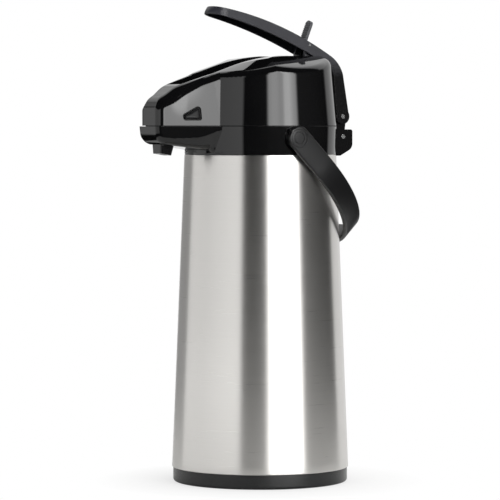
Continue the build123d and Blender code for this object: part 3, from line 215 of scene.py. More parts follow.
@dataclass(frozen=True)
class BrushedSteel(Finish):
    """Stainless steel ground with a belt that runs round the body, so its gloss is drawn out up and down."""

    # Height, length and share of each kind of scratch. Real ones are about 0.05 mm high, and these are drawn
    # higher so that they show.
    scratches: tuple[tuple[float, float, float], ...] = ((0.3, 40.0, 0.6), (1.2, 200.0, 0.4))

    def shader(self, sheet: Sheet) -> bpy.types.Node:
        """Build a metal whose colour, roughness and relief follow level scratches, longer than they are high.

        Args:
            sheet: the material's node tree.

        Returns:
            The shader.
        """
        spot = sheet.add("ShaderNodeTexCoord").outputs["Object"]
        mixed: Feed = 0.0
        for high, long, share in self.scratches:
            mapped = sheet.add("ShaderNodeMapping", {"Vector": spot,
                                                     "Scale": (high / long, high / long, 1.0)})
            noise = sheet.add("ShaderNodeTexNoise", {"Vector": mapped, "Scale": 1 / (high * MM),
                                                     "Detail": 2.0, "Roughness": 0.7})
            mixed = sheet.add("ShaderNodeMath", {0: noise, 1: share, 2: mixed}, operation="MULTIPLY_ADD")
        colour = sheet.add("ShaderNodeMix", {"Factor": mixed, 6: linear(self.tone),
                                             7: linear(self.second_tone)}, data_type="RGBA")
        rough = sheet.add("ShaderNodeMapRange", {"Value": mixed, "From Min": 0.3, "From Max": 0.7,
                                                 "To Min": self.roughness - self.spread,
                                                 "To Max": self.roughness + self.spread})
        return sheet.add("ShaderNodeBsdfPrincipled", {
            "Base Color": colour.outputs[2], "Roughness": rough, "Metallic": self.metallic,
            "Anisotropic": 0.85, "Anisotropic Rotation": 0.25,
            "Tangent": sheet.add("ShaderNodeTangent", direction_type="RADIAL", axis="Z"),
            "Normal": sheet.add("ShaderNodeBump", {"Height": mixed, "Distance": self.depth * MM})})


@dataclass(frozen=True)
class HandlePlastic(Finish):
    """Plastic of the bail, with turned rings round each pivot."""

    # Radii of the rings, how far from its line a ring's groove is deepest and ends, and its depth.
    rings: tuple[float, ...] = (8.2, 5.2)
    ring_width: tuple[float, float] = (0.15, 0.6)
    ring_depth: float = 0.35

    def normal(self, sheet: Sheet, fine: Feed) -> bpy.types.Node:
        """Add the rings to the mould's grain: a groove wherever the reach from the pivot is a ring's radius.

        Args:
            sheet: the material's node tree.
            fine: the grain.

        Returns:
            The relief's normal.
        """
        spot = sheet.add("ShaderNodeTexCoord").outputs["Object"]
        back = (0.0, -BAIL_PIVOT[0] * MM, -BAIL_PIVOT[1] * MM)
        centred = sheet.add("ShaderNodeMapping", {"Vector": spot, "Scale": (0.0, 1.0, 1.0), "Location": back})
        reach = sheet.add("ShaderNodeVectorMath", {0: centred}, operation="LENGTH").outputs["Value"]
        total = sheet.add("ShaderNodeMath", {0: fine, 1: self.depth / self.ring_depth}, operation="MULTIPLY")
        for ring in self.rings:
            past = sheet.add("ShaderNodeMath", {0: reach, 1: ring * MM}, operation="SUBTRACT")
            off = sheet.add("ShaderNodeMath", {0: past}, operation="ABSOLUTE")
            dip = sheet.add("ShaderNodeMapRange", {
                "Value": off, "From Min": self.ring_width[0] * MM, "From Max": self.ring_width[1] * MM,
                "To Min": -1.0, "To Max": 0.0}, interpolation_type="SMOOTHSTEP")
            total = sheet.add("ShaderNodeMath", {0: total, 1: dip}, operation="ADD")
        return sheet.add("ShaderNodeBump", {"Height": total, "Distance": self.ring_depth * MM})


@dataclass(frozen=True)
class LeverPlastic(Finish):
    """Grained plastic whose colour fades to near black between two heights as painted shade, and turns
    polished.
    """

    # Between these heights, in millimetres, the colour fades down to a near black of painted shade and the
    # roughness to a polish.
    unshaded_grain_from: float = 385.0
    shaded_polish_below: float = 366.0
    painted_shade_tone: str = "#0a0a0b"
    polished_roughness: float = 0.12

    def tones(self, sheet: Sheet, fine: Feed, broad: Feed) -> tuple[bpy.types.NodeSocket, bpy.types.Node]:
        """Fade the colour down the piece to a near black of painted shade, and the roughness to a polished
        one.

        Args:
            sheet: the material's node tree.
            fine: the grain.
            broad: the cloudiness.

        Returns:
            The colour and the roughness.
        """
        grained, dull = super().tones(sheet, fine, broad)
        spot = sheet.add("ShaderNodeTexCoord").outputs["Object"]
        height = sheet.add("ShaderNodeSeparateXYZ", {0: spot}).outputs["Z"]
        # How far down the piece the painted shade and the polish have come.
        share = sheet.add("ShaderNodeMapRange", {"Value": height, "From Min": self.unshaded_grain_from * MM,
                                                 "From Max": self.shaded_polish_below * MM})
        colour = sheet.add("ShaderNodeMix", {"Factor": share, 6: grained, 7: linear(self.painted_shade_tone)},
                           data_type="RGBA")
        rough = sheet.add("ShaderNodeMix", {"Factor": share, 2: dull, 3: self.polished_roughness})
        return colour.outputs[2], rough


class Polish(Enum):
    """The finishes of the airpot's pieces, from what each is made of and how, and what that gives the eye."""

    # Stainless steel, belt ground: level hairlines that draw each reflection out into an upright band.
    STEEL = BrushedSteel("belt_ground_stainless_steel", "#dddbd7", "#e6e4e1", 0.30, 0.03, depth=0.0003,
                         metallic=1.0)
    # ABS from a polished mould: a black mirror that is hardly wavy.
    GLOSS = Finish("polished_black_abs", "#0a0a0b", "#0c0c0d", 0.05, 0.012, grain=2.5, depth=0.0006,
                   edge=0.35)
    # ABS from a plain mould: black with a soft gloss.
    NOZZLE = Finish("moulded_black_nozzle", "#0e0e0f", "#121213", 0.16, 0.03, grain=0.8, depth=0.002,
                    edge=0.3)
    # ABS from a mould blasted fine: black that mirrors little, so its IOR is matched lower than ABS has.
    BUTTON = Finish("semi_gloss_black_button", "#0c0c0d", "#101011", 0.34, 0.04, grain=0.6, depth=0.004,
                    ior=1.3, edge=0.5)
    # ABS from a spark eroded mould: a dark grey that glints softly. The grain of 0.1 mm is drawn 0.5 mm wide,
    # so that it shows.
    # Down the arm its colour fades to near black, which is painted shade, while it turns polished.
    LEVER = LeverPlastic("spark_grained_lever_abs", "#26262c", "#2b2b32", 0.40, 0.06, grain=0.5, depth=0.02,
                         edge=0.6)
    # Dull near black in the gaps round the buttons and behind the seam, as painted shade: it gives next to no
    # light back.
    GAP_SHADE = Finish("painted_gap_shade_black", "#060606", "#080808", 0.6, 0.05, grain=0.6, depth=0.006)
    # Acetal from a satin mould: a mid grey, with painted shade where the tab goes down into the lever.
    TAB = LeverPlastic("satin_grey_tab_acetal", "#4a4b4f", "#535458", 0.38, 0.05, grain=0.5, depth=0.012,
                       edge=0.3, unshaded_grain_from=399.0, shaded_polish_below=395.0)
    # Polypropylene from a satin mould: deep black with a broad shine.
    BASE = Finish("satin_black_base_polypropylene", "#0e0f10", "#111213", 0.24, 0.04, grain=0.6, depth=0.006,
                  edge=0.4)
    # Polypropylene again, a little duller: an even black that catches light along its rounded edges.
    BAIL = HandlePlastic("satin_black_bail_polypropylene", "#101011", "#131314", 0.32, 0.04, grain=0.5,
                         depth=0.0175)
    # Black mouldings that nobody polishes: dark grey and flat.
    INNER = Finish("natural_black_moulding", "#141415", "#19191a", 0.36, 0.06, grain=0.8, edge=0.3)
    # Moulded acetal: slick dark grey.
    PLUNGER = Finish("acetal_plunger", "#1d1d1f", "#232325", 0.33, 0.05, grain=0.7, edge=0.4)
    # Moulded nylon: dark and half dull.
    PIVOT = Finish("nylon_pivot", "#171718", "#1c1c1d", 0.4, 0.05, grain=0.6, edge=0.2)
    # Drawn polyethylene: milky white and waxy.
    TUBE = Finish("milky_polyethylene_tube", "#dcdcd6", "#e4e4df", 0.35, 0.05, grain=2.0, ior=1.51)
    # Borosilicate glass silvered from inside the vacuum: a bright mirror under a clear coat.
    SILVER = Finish("silvered_borosilicate_glass", "#c9ced1", "#d4d9db", 0.08, 0.03, grain=6.0,
                    metallic=1.0, coat=1.0)
    # Pressed mineral fibre: pale, matt and crumbly.
    PAD = Finish("pressed_mineral_pad", "#b9b1a0", "#cbc4b5", 0.9, 0.05, grain=0.4, depth=0.08)
    # Moulded rubber: nearly black and matt.
    FOOT = Finish("black_foot_rubber", "#141414", "#1c1c1b", 0.75, 0.08, grain=0.3, depth=0.02, edge=0.3)
    # Moulded silicone: chalky white with a soft sheen.
    SEAL = Finish("white_silicone_rubber", "#c6c5bf", "#d1d0ca", 0.55, 0.08, grain=0.7, edge=0.25)
    # Moulded rubber with a slight bloom: a greyish black.
    BELLOWS = Finish("black_bellows_rubber", "#232324", "#2b2b2c", 0.62, 0.08, grain=0.5, depth=0.015)
    # Extruded rubber: an amber grey, half dull.
    PIPE = Finish("amber_grey_pipe_rubber", "#a9a69b", "#b5b2a8", 0.5, 0.08, grain=0.8)
    # Steel wire drawn through a die: bright, with lines along it.
    SPRING = Finish("drawn_spring_wire", "#a9a9a8", "#bcbcba", 0.25, 0.08, grain=0.3, depth=0.004,
                    metallic=1.0, stretch=(1.0, 1.0, 4.0))
    # Ground steel: bright, with fine rings round it.
    PIN = Finish("ground_hinge_pin", "#b8b8b8", "#c8c8c7", 0.18, 0.05, grain=0.2, depth=0.002, metallic=1.0,
                 stretch=(6.0, 1.0, 1.0), edge=0.2)
    # Zinc plated steel: a warm grey with a soft shine.
    SCREW = Finish("zinc_plated_screw", "#a9a79f", "#bdbab0", 0.3, 0.08, grain=0.4, depth=0.004, metallic=1.0,
                   edge=0.15)


# Shapes

def put(name: str, data: bpy.types.ID) -> bpy.types.Object:
    """Put a mesh, lamp or camera into the scene.

    Args:
        name: name of the object.
        data: its mesh, lamp or camera.

    Returns:
        The object.
    """
    made = bpy.data.objects.new(name, data)
    bpy.context.scene.collection.objects.link(made)
    return made


def dress(piece: bpy.types.Object, finish: Polish) -> None:
    """Put one finish on every material slot of a piece.

    Args:
        piece: the piece's object.
        finish: the finish.
    """
    made = finish.value.material()
    if not piece.material_slots:
        piece.data.materials.append(made)
    for slot in piece.material_slots:
        slot.material = made


def place(name: str, mesh: bpy.types.Mesh, finish: Polish, body: str,
          node: Optional[str] = None) -> None:
    """Put a finished mesh into the scene.

    Args:
        name: name of the piece.
        mesh: its mesh.
        finish: its finish.
        body: the CAD body that it rides on.
        node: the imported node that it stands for, if it does.
    """
    piece = put(name, mesh)
    dress(piece, finish)
    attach(piece, body)
    if node:
        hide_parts(node)
    LOG.info("%s: %d faces, stands for %s", name, len(mesh.polygons), node or "no packed node")


def ring_mesh(name: str, rings: np.ndarray, looped: bool, crease: float = 180.0) -> bpy.types.Mesh:
    """Make a closed, smooth mesh from closed rings of points.

    Face (i, j) joins points j and j + 1 of rings i and i + 1, and j + 1 wraps round. The last ring joins the
    first where the rings are looped, and otherwise one face closes each end.

    Args:
        name: name of the mesh.
        rings: array of rings by points by three, in metres.
        looped: whether the last ring joins the first.
        crease: an edge that turns by more than this, in degrees, stays sharp.

    Returns:
        The mesh.
    """
    count, size = rings.shape[:2]
    first = np.arange(count if looped else count - 1)[:, None] * size
    second = (first + size) % (count * size)
    j = np.arange(size)[None, :]
    after = (j + 1) % size
    faces = np.stack([first + j, second + j, second + after, first + after], axis=-1).reshape(-1, 4).tolist()
    if not looped:
        faces += [list(range(size)), list(range((count - 1) * size, count * size))[::-1]]
    mesh = bpy.data.meshes.new(name)
    mesh.from_pydata(rings.reshape(-1, 3).tolist(), [], faces)
    mesh.shade_smooth()
    mesh.update()
    if crease < 180.0:
        mesh.set_sharp_from_angle(angle=math.radians(crease))
    return mesh


def arc(centre: tuple[float, float], radius: float, start: float, stop: float, steps: int) -> np.ndarray:
    """Points on a circle, centre plus radius times cosine and sine, between two angles in degrees."""
    turn = np.radians(np.linspace(start, stop, steps))
    return np.stack([centre[0] + radius * np.cos(turn), centre[1] + radius * np.sin(turn)], axis=1)


def fade(value: np.ndarray, low: float, high: float) -> np.ndarray:
    """Rise from 0 to 1 as 3 s squared less 2 s cubed, s from low to high, or fall if high is below low."""
    share = np.clip((value - low) / (high - low), 0.0, 1.0)
    return share * share * (3 - 2 * share)


def swung(u: np.ndarray, v: np.ndarray, turn: Union[np.ndarray, float]) -> tuple[np.ndarray, np.ndarray]:
    """Turn points about the origin: u cos t less v sin t, and u sin t plus v cos t."""
    return u * np.cos(turn) - v * np.sin(turn), u * np.sin(turn) + v * np.cos(turn)


def rounded_outline(corners: np.ndarray, radii: np.ndarray, inset: float, steps: int = 9) -> np.ndarray:
    """Convex outline with an arc at each corner, drawn in by inset.

    The centre of each arc stands off both sides by the corner's radius, so the arc of radius less inset fits
    between the sides moved in by inset.

    Args:
        corners: corners in order, anticlockwise, as rows of two.
        radii: radius at each corner, larger than inset.
        inset: distance that the outline is drawn in.
        steps: points on each arc.

    Returns:
        Points in order, as rows of two.
    """
    before, after = np.roll(corners, 1, axis=0) - corners, np.roll(corners, -1, axis=0) - corners
    before /= np.linalg.norm(before, axis=1, keepdims=True)
    after /= np.linalg.norm(after, axis=1, keepdims=True)
    middle = before + after
    middle /= np.linalg.norm(middle, axis=1, keepdims=True)
    half = np.arccos(np.clip(np.sum(before * after, axis=1), -1, 1)) / 2
    centres = corners + middle * (radii / np.sin(half))[:, None]
    sweep = (np.pi / 2 - half)[:, None] * np.linspace(-1, 1, steps)[None, :]
    turn = np.arctan2(-middle[:, 1], -middle[:, 0])[:, None] + sweep
    spokes = np.stack([np.cos(turn), np.sin(turn)], axis=-1)
    return (centres[:, None, :] + (radii - inset)[:, None, None] * spokes).reshape(-1, 2)


# Pieces with a shape of their own

@dataclass
class SteelBody:
    """The steel shell, a slightly tapered tube rolled in at its foot and beaded at its top."""

    bottom_radius: float = 80.0
    top_radius: float = 68.8
    low: float = 13.0
    high: float = 296.0
    wall: float = 0.8
    lip: float = 2.2
    foot_roll: float = 0.9
    top_roll: float = 0.5
    # How far the inner edge of the bead stands below its top.
    bead_step: float = 0.02
    turns: int = 256
    levels: int = 40
    roll_steps: tuple[int, int] = (8, 6)
    crease: float = 50.0

    def profile(self) -> np.ndarray:
        """Draw the wall's outline: the two rolls' arcs, joined by a straight line outside, and square inside.

        Returns:
            Radius and height of points in order, with the outside on the right.
        """
        lean = (self.top_radius - self.bottom_radius) / (self.high - self.low)
        heights = np.linspace(self.low + self.foot_roll, self.high - self.top_roll, self.levels)[1:-1]
        outside = np.stack([self.bottom_radius + lean * (heights - self.low), heights], axis=1)
        foot = arc((self.bottom_radius - self.foot_roll, self.low + self.foot_roll), self.foot_roll, -90, 0,
                   self.roll_steps[0])
        top = arc((self.top_radius - self.top_roll, self.high - self.top_roll), self.top_roll, 0, 90,
                  self.roll_steps[1])
        inside = [[self.top_radius - self.wall, self.high - self.bead_step],
                  [self.bottom_radius - self.wall, self.low + self.wall],
                  [self.bottom_radius - self.lip, self.low + self.wall],
                  [self.bottom_radius - self.lip, self.low]]
        return np.concatenate([foot, outside, top, inside])

    def build(self) -> None:
        """Spin the profile: a point is radius times cosine, radius times sine, and height."""
        line = self.profile() * MM
        turn = np.linspace(0, 2 * math.pi, self.turns, endpoint=False)[:, None]
        points = np.stack([line[None, :, 0] * np.cos(turn), line[None, :, 0] * np.sin(turn),
                           np.broadcast_to(line[None, :, 1], (self.turns, len(line)))], axis=-1)
        mesh = ring_mesh("steel_shell", points, looped=True, crease=self.crease)
        place("steel_shell", mesh, Polish.STEEL, "vessel", "outer_shell")


@dataclass
class Bail:
    """The flat strip handle: two straight arms joined by half an ellipse, with a round hub at each end."""

    half_span: float = 73.5
    arm: float = 35.5
    bend: float = 89.6
    thickness: float = 4.5
    width: float = 21.5
    edge: float = 1.5
    # Degrees that the strip hangs below level.
    droop: float = 45.0
    # Rings along the strip, spaced evenly by a finer line with this many points on an arm and on the bend.
    stations: int = 120
    samples: tuple[int, int] = (200, 2001)
    corner_steps: int = 7
    # The hub's circle is followed from its middle to this many degrees from its end, which more rings close.
    hub_steps: int = 14
    hub_stop: float = 4.0
    end_shares: tuple[float, ...] = (0.35, 0.7, 1.0)
    end_taper: float = 0.75

    def centre_line(self) -> tuple[np.ndarray, np.ndarray]:
        """Lay out the strip's middle: x = span, then x = span cos t and y = arm + bend sin t, then x = -span.

        Returns:
            Points at even spacing, and the normals that point outward.
        """
        t = np.linspace(0, math.pi, self.samples[1])
        curve = np.stack([self.half_span * np.cos(t), self.arm + self.bend * np.sin(t)], axis=1)
        straight = np.linspace(0, self.arm, self.samples[0], endpoint=False)[:, None]
        right = np.concatenate([np.full_like(straight, self.half_span), straight], axis=1)
        whole = np.concatenate([right, curve, right[::-1] * np.array([-1.0, 1.0])])
        run = np.concatenate([[0], np.cumsum(np.linalg.norm(np.diff(whole, axis=0), axis=1))])
        want = np.linspace(0, run[-1], self.stations)
        line = np.stack([np.interp(want, run, whole[:, k]) for k in (0, 1)], axis=1)
        along = np.gradient(line, axis=0)
        along /= np.linalg.norm(along, axis=1, keepdims=True)
        return line, np.stack([along[:, 1], -along[:, 0]], axis=1)

    def section(self) -> np.ndarray:
        """Draw a rounded rectangle, thickness by width: an arc at each corner.

        Returns:
            Offsets outward and up, starting at the lower outer corner.
        """
        out, up = self.thickness / 2 - self.edge, self.width / 2 - self.edge
        corners = (((out, -up), -90), ((out, up), 0), ((-out, up), 90), ((-out, -up), 180))
        return np.concatenate([arc(corner, self.edge, start, start + 90, self.corner_steps)
                               for corner, start in corners])

    def strip(self) -> np.ndarray:
        """Carry the section along the line, and round the hubs.

        Beyond the pivot the half width is the root of the hub's radius squared less the reach squared.

        Returns:
            Rings of points of the level strip, with the pivots on the x axis.
        """
        line, out = self.centre_line()
        offsets = self.section()
        flat = self.width / 2 - self.edge
        swing = np.radians(np.linspace(90, self.hub_stop, self.hub_steps))
        reach, high = flat * np.cos(swing), np.sin(swing)
        start = np.stack([np.full_like(reach, self.half_span), -reach], axis=1)[::-1]
        lines = np.concatenate([start, line[1:-1], (start * np.array([-1.0, 1.0]))[::-1]])
        sides = np.tile([1.0, 0.0], (len(start), 1))
        outs = np.concatenate([sides, out[1:-1], -sides])
        scale = np.concatenate([high[::-1], np.ones(len(line) - 2), high])[:, None]
        up = np.sign(offsets[:, 1]) * (flat * scale + (np.abs(offsets[:, 1]) - flat))
        plan = lines[:, None, :] + outs[:, None, :] * offsets[None, :, :1]
        return self.close_ends(np.concatenate([plan, up[:, :, None]], axis=-1))

    def close_ends(self, points: np.ndarray) -> np.ndarray:
        """Round the very ends with more rings.

        The ring at share s stands that share of the edge further out, and its size is the root of 1 - taper
        times s squared.

        Args:
            points: the strip's rings.

        Returns:
            The rings with those of the ends.
        """
        share = np.array(self.end_shares)[:, None, None]
        ends = []
        for ring in (points[0], points[-1]):
            middle = ring.mean(axis=0)
            drawn = middle + (ring - middle) * np.sqrt(1 - self.end_taper * share ** 2)
            drawn[..., 1] -= self.edge * share[..., 0]
            ends.append(drawn)
        return np.concatenate([ends[0][::-1], points, ends[1]])

    def build(self) -> None:
        """Swing the strip down about its pivots."""
        points = self.strip()
        y, z = swung(points[..., 1], points[..., 2], -math.radians(self.droop))
        points = np.stack([points[..., 0], y + BAIL_PIVOT[0], z + BAIL_PIVOT[1]], axis=-1) * MM
        mesh = ring_mesh("bail_strip", points, looped=False)
        place("bail_strip", mesh, Polish.BAIL, "bail", "bail_handle")


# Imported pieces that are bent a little

def read(rows: bpy.types.bpy_prop_collection, name: str, width: int = 1, kind: type = float) -> np.ndarray:
    """Read one property of every vertex, corner or face, as rows of width, or flat where width is 1."""
    rows.foreach_get(name, values := np.empty(len(rows) * width, dtype=kind))
    return values.reshape(-1, width) if width > 1 else values


@dataclass
class Reshaped:
    """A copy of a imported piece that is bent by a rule, and first divided finely to keep the bend smooth."""

    node: str
    name: str
    body: str
    slot: str
    finish: Polish
    # Edges longer than this are halved where the rule moves them, this many times over.
    finest: float = 2.0
    rounds: int = 5
    # Points this near are one, and a point that moves by less stands still.
    weld: float = 0.0005
    still: float = 0.0001
    # Normals are taken this share of the way into a face, over steps of this length.
    inward: float = 0.08
    step: float = 0.02

    def move(self, points: np.ndarray) -> np.ndarray:
        """Give the new places of points, rows of x, y and z in millimetres."""
        raise NotImplementedError

    def cut(self, work: bmesh.types.BMesh) -> None:
        """Cut the piece where the rule creases it, which by default it doesn't."""

    def divide(self, mesh: bpy.types.Mesh) -> None:
        """Cut the piece at its creases, then halve the long edges where the rule bends it.

        Args:
            mesh: the mesh, which is changed in place.
        """
        work = bmesh.new()
        work.from_mesh(mesh)
        bmesh.ops.remove_doubles(work, verts=work.verts, dist=self.weld * MM)
        self.cut(work)
        bmesh.ops.triangulate(work, faces=[face for face in work.faces if len(face.verts) > 3])
        for _ in range(self.rounds):
            work.verts.index_update()
            places = np.array([vert.co for vert in work.verts]) / MM
            moved = np.abs(self.move(places) - places).max(axis=1) > self.still
            long = [edge for edge in work.edges if edge.calc_length() > self.finest * MM
                    and (moved[edge.verts[0].index] or moved[edge.verts[1].index])]
            if not long:
                break
            bmesh.ops.subdivide_edges(work, edges=long, cuts=1)
            bmesh.ops.triangulate(work, faces=[face for face in work.faces if len(face.verts) > 3])
        work.to_mesh(mesh)
        work.free()

    def turned(self, mesh: bpy.types.Mesh, points: np.ndarray, normals: np.ndarray) -> np.ndarray:
        """Turn the corners' normals as the rule turns the surface.

        A normal n turns to nx (b x c) + ny (c x a) + nz (a x b), where a, b and c are the steps that the rule
        makes of a step along x, y and z. They are taken a little inside each face, so a crease stays one.

        Args:
            mesh: the divided mesh.
            points: its vertices in millimetres.
            normals: its corners' normals before the bend.

        Returns:
            The normals after the bend.
        """
        owner = read(mesh.loops, "vertex_index", kind=np.int64)
        starts, totals = (read(mesh.polygons, name, kind=np.int64) for name in ("loop_start", "loop_total"))
        corners = points[owner]
        middles = np.add.reduceat(corners, starts, axis=0) / totals[:, None]
        inside = corners + self.inward * (np.repeat(middles, totals, axis=0) - corners)
        a, b, c = (self.move(inside + self.step * way) - self.move(inside - self.step * way)
                   for way in np.eye(3))
        bent = (normals[:, :1] * np.cross(b, c) + normals[:, 1:2] * np.cross(c, a)
                + normals[:, 2:] * np.cross(a, b))
        return bent / np.linalg.norm(bent, axis=1, keepdims=True)

    def build(self) -> None:
        """Copy the piece, divide it, and move its points and normals."""
        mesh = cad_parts[self.node].data.copy()
        mesh.name = self.name
        kept = mesh.attributes.new("way", "FLOAT_VECTOR", "CORNER")
        kept.data.foreach_set("vector", read(mesh.corner_normals, "vector", 3).ravel())
        self.divide(mesh)
        normals = read(mesh.attributes["way"].data, "vector", 3)
        mesh.attributes.remove(mesh.attributes["way"])
        points = read(mesh.vertices, "co", 3) / MM
        normals = self.turned(mesh, points, normals)
        mesh.vertices.foreach_set("co", (self.move(points) * MM).reshape(-1))
        mesh.update()
        mesh.normals_split_custom_set(normals.tolist())
        place(self.name, mesh, self.finish, self.body, self.node)


@dataclass
class Collar(Reshaped):
    """The collar, whose nose leans in below the seam and then turns under along a curve, like a hull."""

    seam: float = 321.4
    lean: float = 3.2
    lean_depth: float = 24.0
    hull_lean: float = 17.0
    hull_depth: float = 16.0
    hull_line: tuple[tuple[float, float], ...] = (
        (-121.0, 313.2), (-112.0, 311.8), (-103.0, 311.2), (-91.0, 311.3), (-80.0, 312.0), (-73.0, 313.9),
        (-67.0, 316.4), (-61.0, 318.2), (-56.0, 319.4))
    # Nothing moves below the floor or in the very middle, and the move dies out behind the nose's rear.
    nose_floor: float = 298.0
    keel: float = 8.0
    nose_rear: float = -60.0
    rear_fade: float = 12.0
    # The root, ahead of the rear, where the move goes round the collar, by its gain over the collar's radius.
    root_length: float = 18.0
    root_gain: float = 1.35
    radius: float = 70.0

    def move(self, points: np.ndarray) -> np.ndarray:
        """Move the sides in by the depth below the seam times tan(lean), and more below the hull line.

        Towards the root the move turns from straight across to round the axis, so that the line where the
        nose meets the round collar slides along the collar.

        Args:
            points: rows of x, y and z.

        Returns:
            Their new places.
        """
        x, y, z = points.T
        line = np.interp(y, *np.array(self.hull_line).T)
        inward = math.tan(math.radians(self.lean)) * np.clip(self.seam - z, 0.0, self.lean_depth)
        inward = inward + math.tan(math.radians(self.hull_lean)) * np.clip(line - z, 0.0, self.hull_depth)
        inward = inward * np.clip(x / self.keel, -1, 1) * (z > self.nose_floor)
        inward = inward * fade(y, self.nose_rear + self.rear_fade, self.nose_rear)
        root = fade(y, self.nose_rear - self.root_length, self.nose_rear)
        x, y = swung(x - inward * (1.0 - root), y, -self.root_gain * inward * root / self.radius)
        return np.stack([x, y, z], axis=1)


@dataclass
class HeadShape(Reshaped):
    """A piece of the lid, bent as the head's nose is.

    The side of the nose stops at a straight slanted line, above which a shoulder leans in. Its join with the
    round head stands upright to the eye, the top of the nose droops at the tip, and the buttons sit a little
    further forward.
    """

    # The shoulder's line passes through its front, y and z, and rises by its slope to the rear.
    shoulder_front: tuple[float, float] = (-111.85, 338.0)
    shoulder_slope: float = 0.515
    shoulder_lean: float = 20.0
    shoulder_depth: float = 12.0
    shoulder_rear: tuple[float, float] = (-58.5, -65.0)
    crown: float = 10.0
    # The twist, in radians, grows by this much for each millimetre of height, and from front to rear.
    twist: float = 0.0020
    twist_foot: float = 322.0
    twist_height: float = 42.0
    twist_front: float = -112.0
    twist_length: float = 50.0
    twist_rear: tuple[float, float] = (-30.0, -56.0)
    twist_across: tuple[float, float] = (16.5, 24.0)
    # The tip goes down by droop within these ranges of y and z.
    droop: float = 2.0
    droop_along: tuple[float, float] = (-90.0, -106.0)
    droop_up: tuple[float, float] = (330.0, 350.0)
    # The buttons' openings step forward in a window whose borders fade over these ranges of y, z and x.
    button_step: float = 2.5
    window_along: tuple[float, float, float, float] = (-103.0, -98.0, -64.0, -69.0)
    window_up: tuple[float, float, float, float] = (322.2, 324.2, 346.0, 343.5)
    window_across: tuple[float, float] = (13.5, 16.5)
    # The head alone is cut along the shoulder, ahead of this y.
    cut_rear: Optional[float] = None

    def cut(self, work: bmesh.types.BMesh) -> None:
        """Cut the faces of the nose along the plane of the shoulder's line.

        Args:
            work: the mesh that is being divided.
        """
        if self.cut_rear is None:
            return
        near = [face for face in work.faces if face.calc_center_median().y < self.cut_rear * MM]
        parts = dict.fromkeys([*(vert for face in near for vert in face.verts),
                               *(edge for face in near for edge in face.edges), *near])
        bmesh.ops.bisect_plane(work, geom=list(parts), plane_co=Vector((0.0, *self.shoulder_front)) * MM,
                               plane_no=Vector((0.0, -self.shoulder_slope, 1.0)))

    def move(self, points: np.ndarray) -> np.ndarray:
        """Step the buttons along the wall, lean the shoulder in, twist the wall's root, and droop the tip.

        A point above the shoulder's line moves in by its height over it times tan(lean), and the twist turns
        it about the body's axis.

        Args:
            points: rows of x, y and z.

        Returns:
            Their new places.
        """
        x, y, z = points.T
        side = np.sign(x)
        step = self.button_step * fade(np.abs(x), *self.window_across)
        for value, (low, full, end, last) in ((y, self.window_along), (z, self.window_up)):
            step = step * fade(value, low, full) * fade(value, end, last)
        x, y = x - side * NOSE_SLOPE * step, y - step
        line = self.shoulder_front[1] + self.shoulder_slope * (y - self.shoulder_front[0])
        inward = math.tan(math.radians(self.shoulder_lean)) * np.clip(z - line, 0.0, self.shoulder_depth)
        x = x - np.clip(x / self.crown, -1, 1) * inward * fade(y, *self.shoulder_rear)
        turn = -side * self.twist * np.clip(z - self.twist_foot, 0.0, self.twist_height)
        turn = turn * np.clip((y - self.twist_front) / self.twist_length, 0.0, 1.0)
        turn = turn * fade(y, *self.twist_rear) * fade(np.abs(x), *self.twist_across)
        x, y = swung(x, y, turn)
        z = z - self.droop * fade(y, *self.droop_along) * fade(z, *self.droop_up)
        return np.stack([x, y, z], axis=1)


@dataclass
class Lever(Reshaped):
    """The lever, whose tip is rounded back at its top."""

    tip: float = -56.6
    tip_length: float = 11.0
    tip_low: float = 422.5
    tip_high: float = 428.9
    set_back: float = 4.0
    power: float = 1.6

    def move(self, points: np.ndarray) -> np.ndarray:
        """Move y back at the tip by set_back times a power of the share of the tip's height.

        Args:
            points: rows of x, y and z.

        Returns:
            Their new places.
        """
        x, y, z = points.T
        high = np.clip((z - self.tip_low) / (self.tip_high - self.tip_low), 0.0, 1.0)
        back = self.set_back * high ** self.power * fade(y, self.tip + self.tip_length, self.tip)
        return np.stack([x, y + back, z], axis=1)


HEAD = HeadShape("head_cover", "bent_head", "lid", "black_gloss", Polish.GLOSS, cut_rear=-55.0)


# Small pieces of the head and the deck

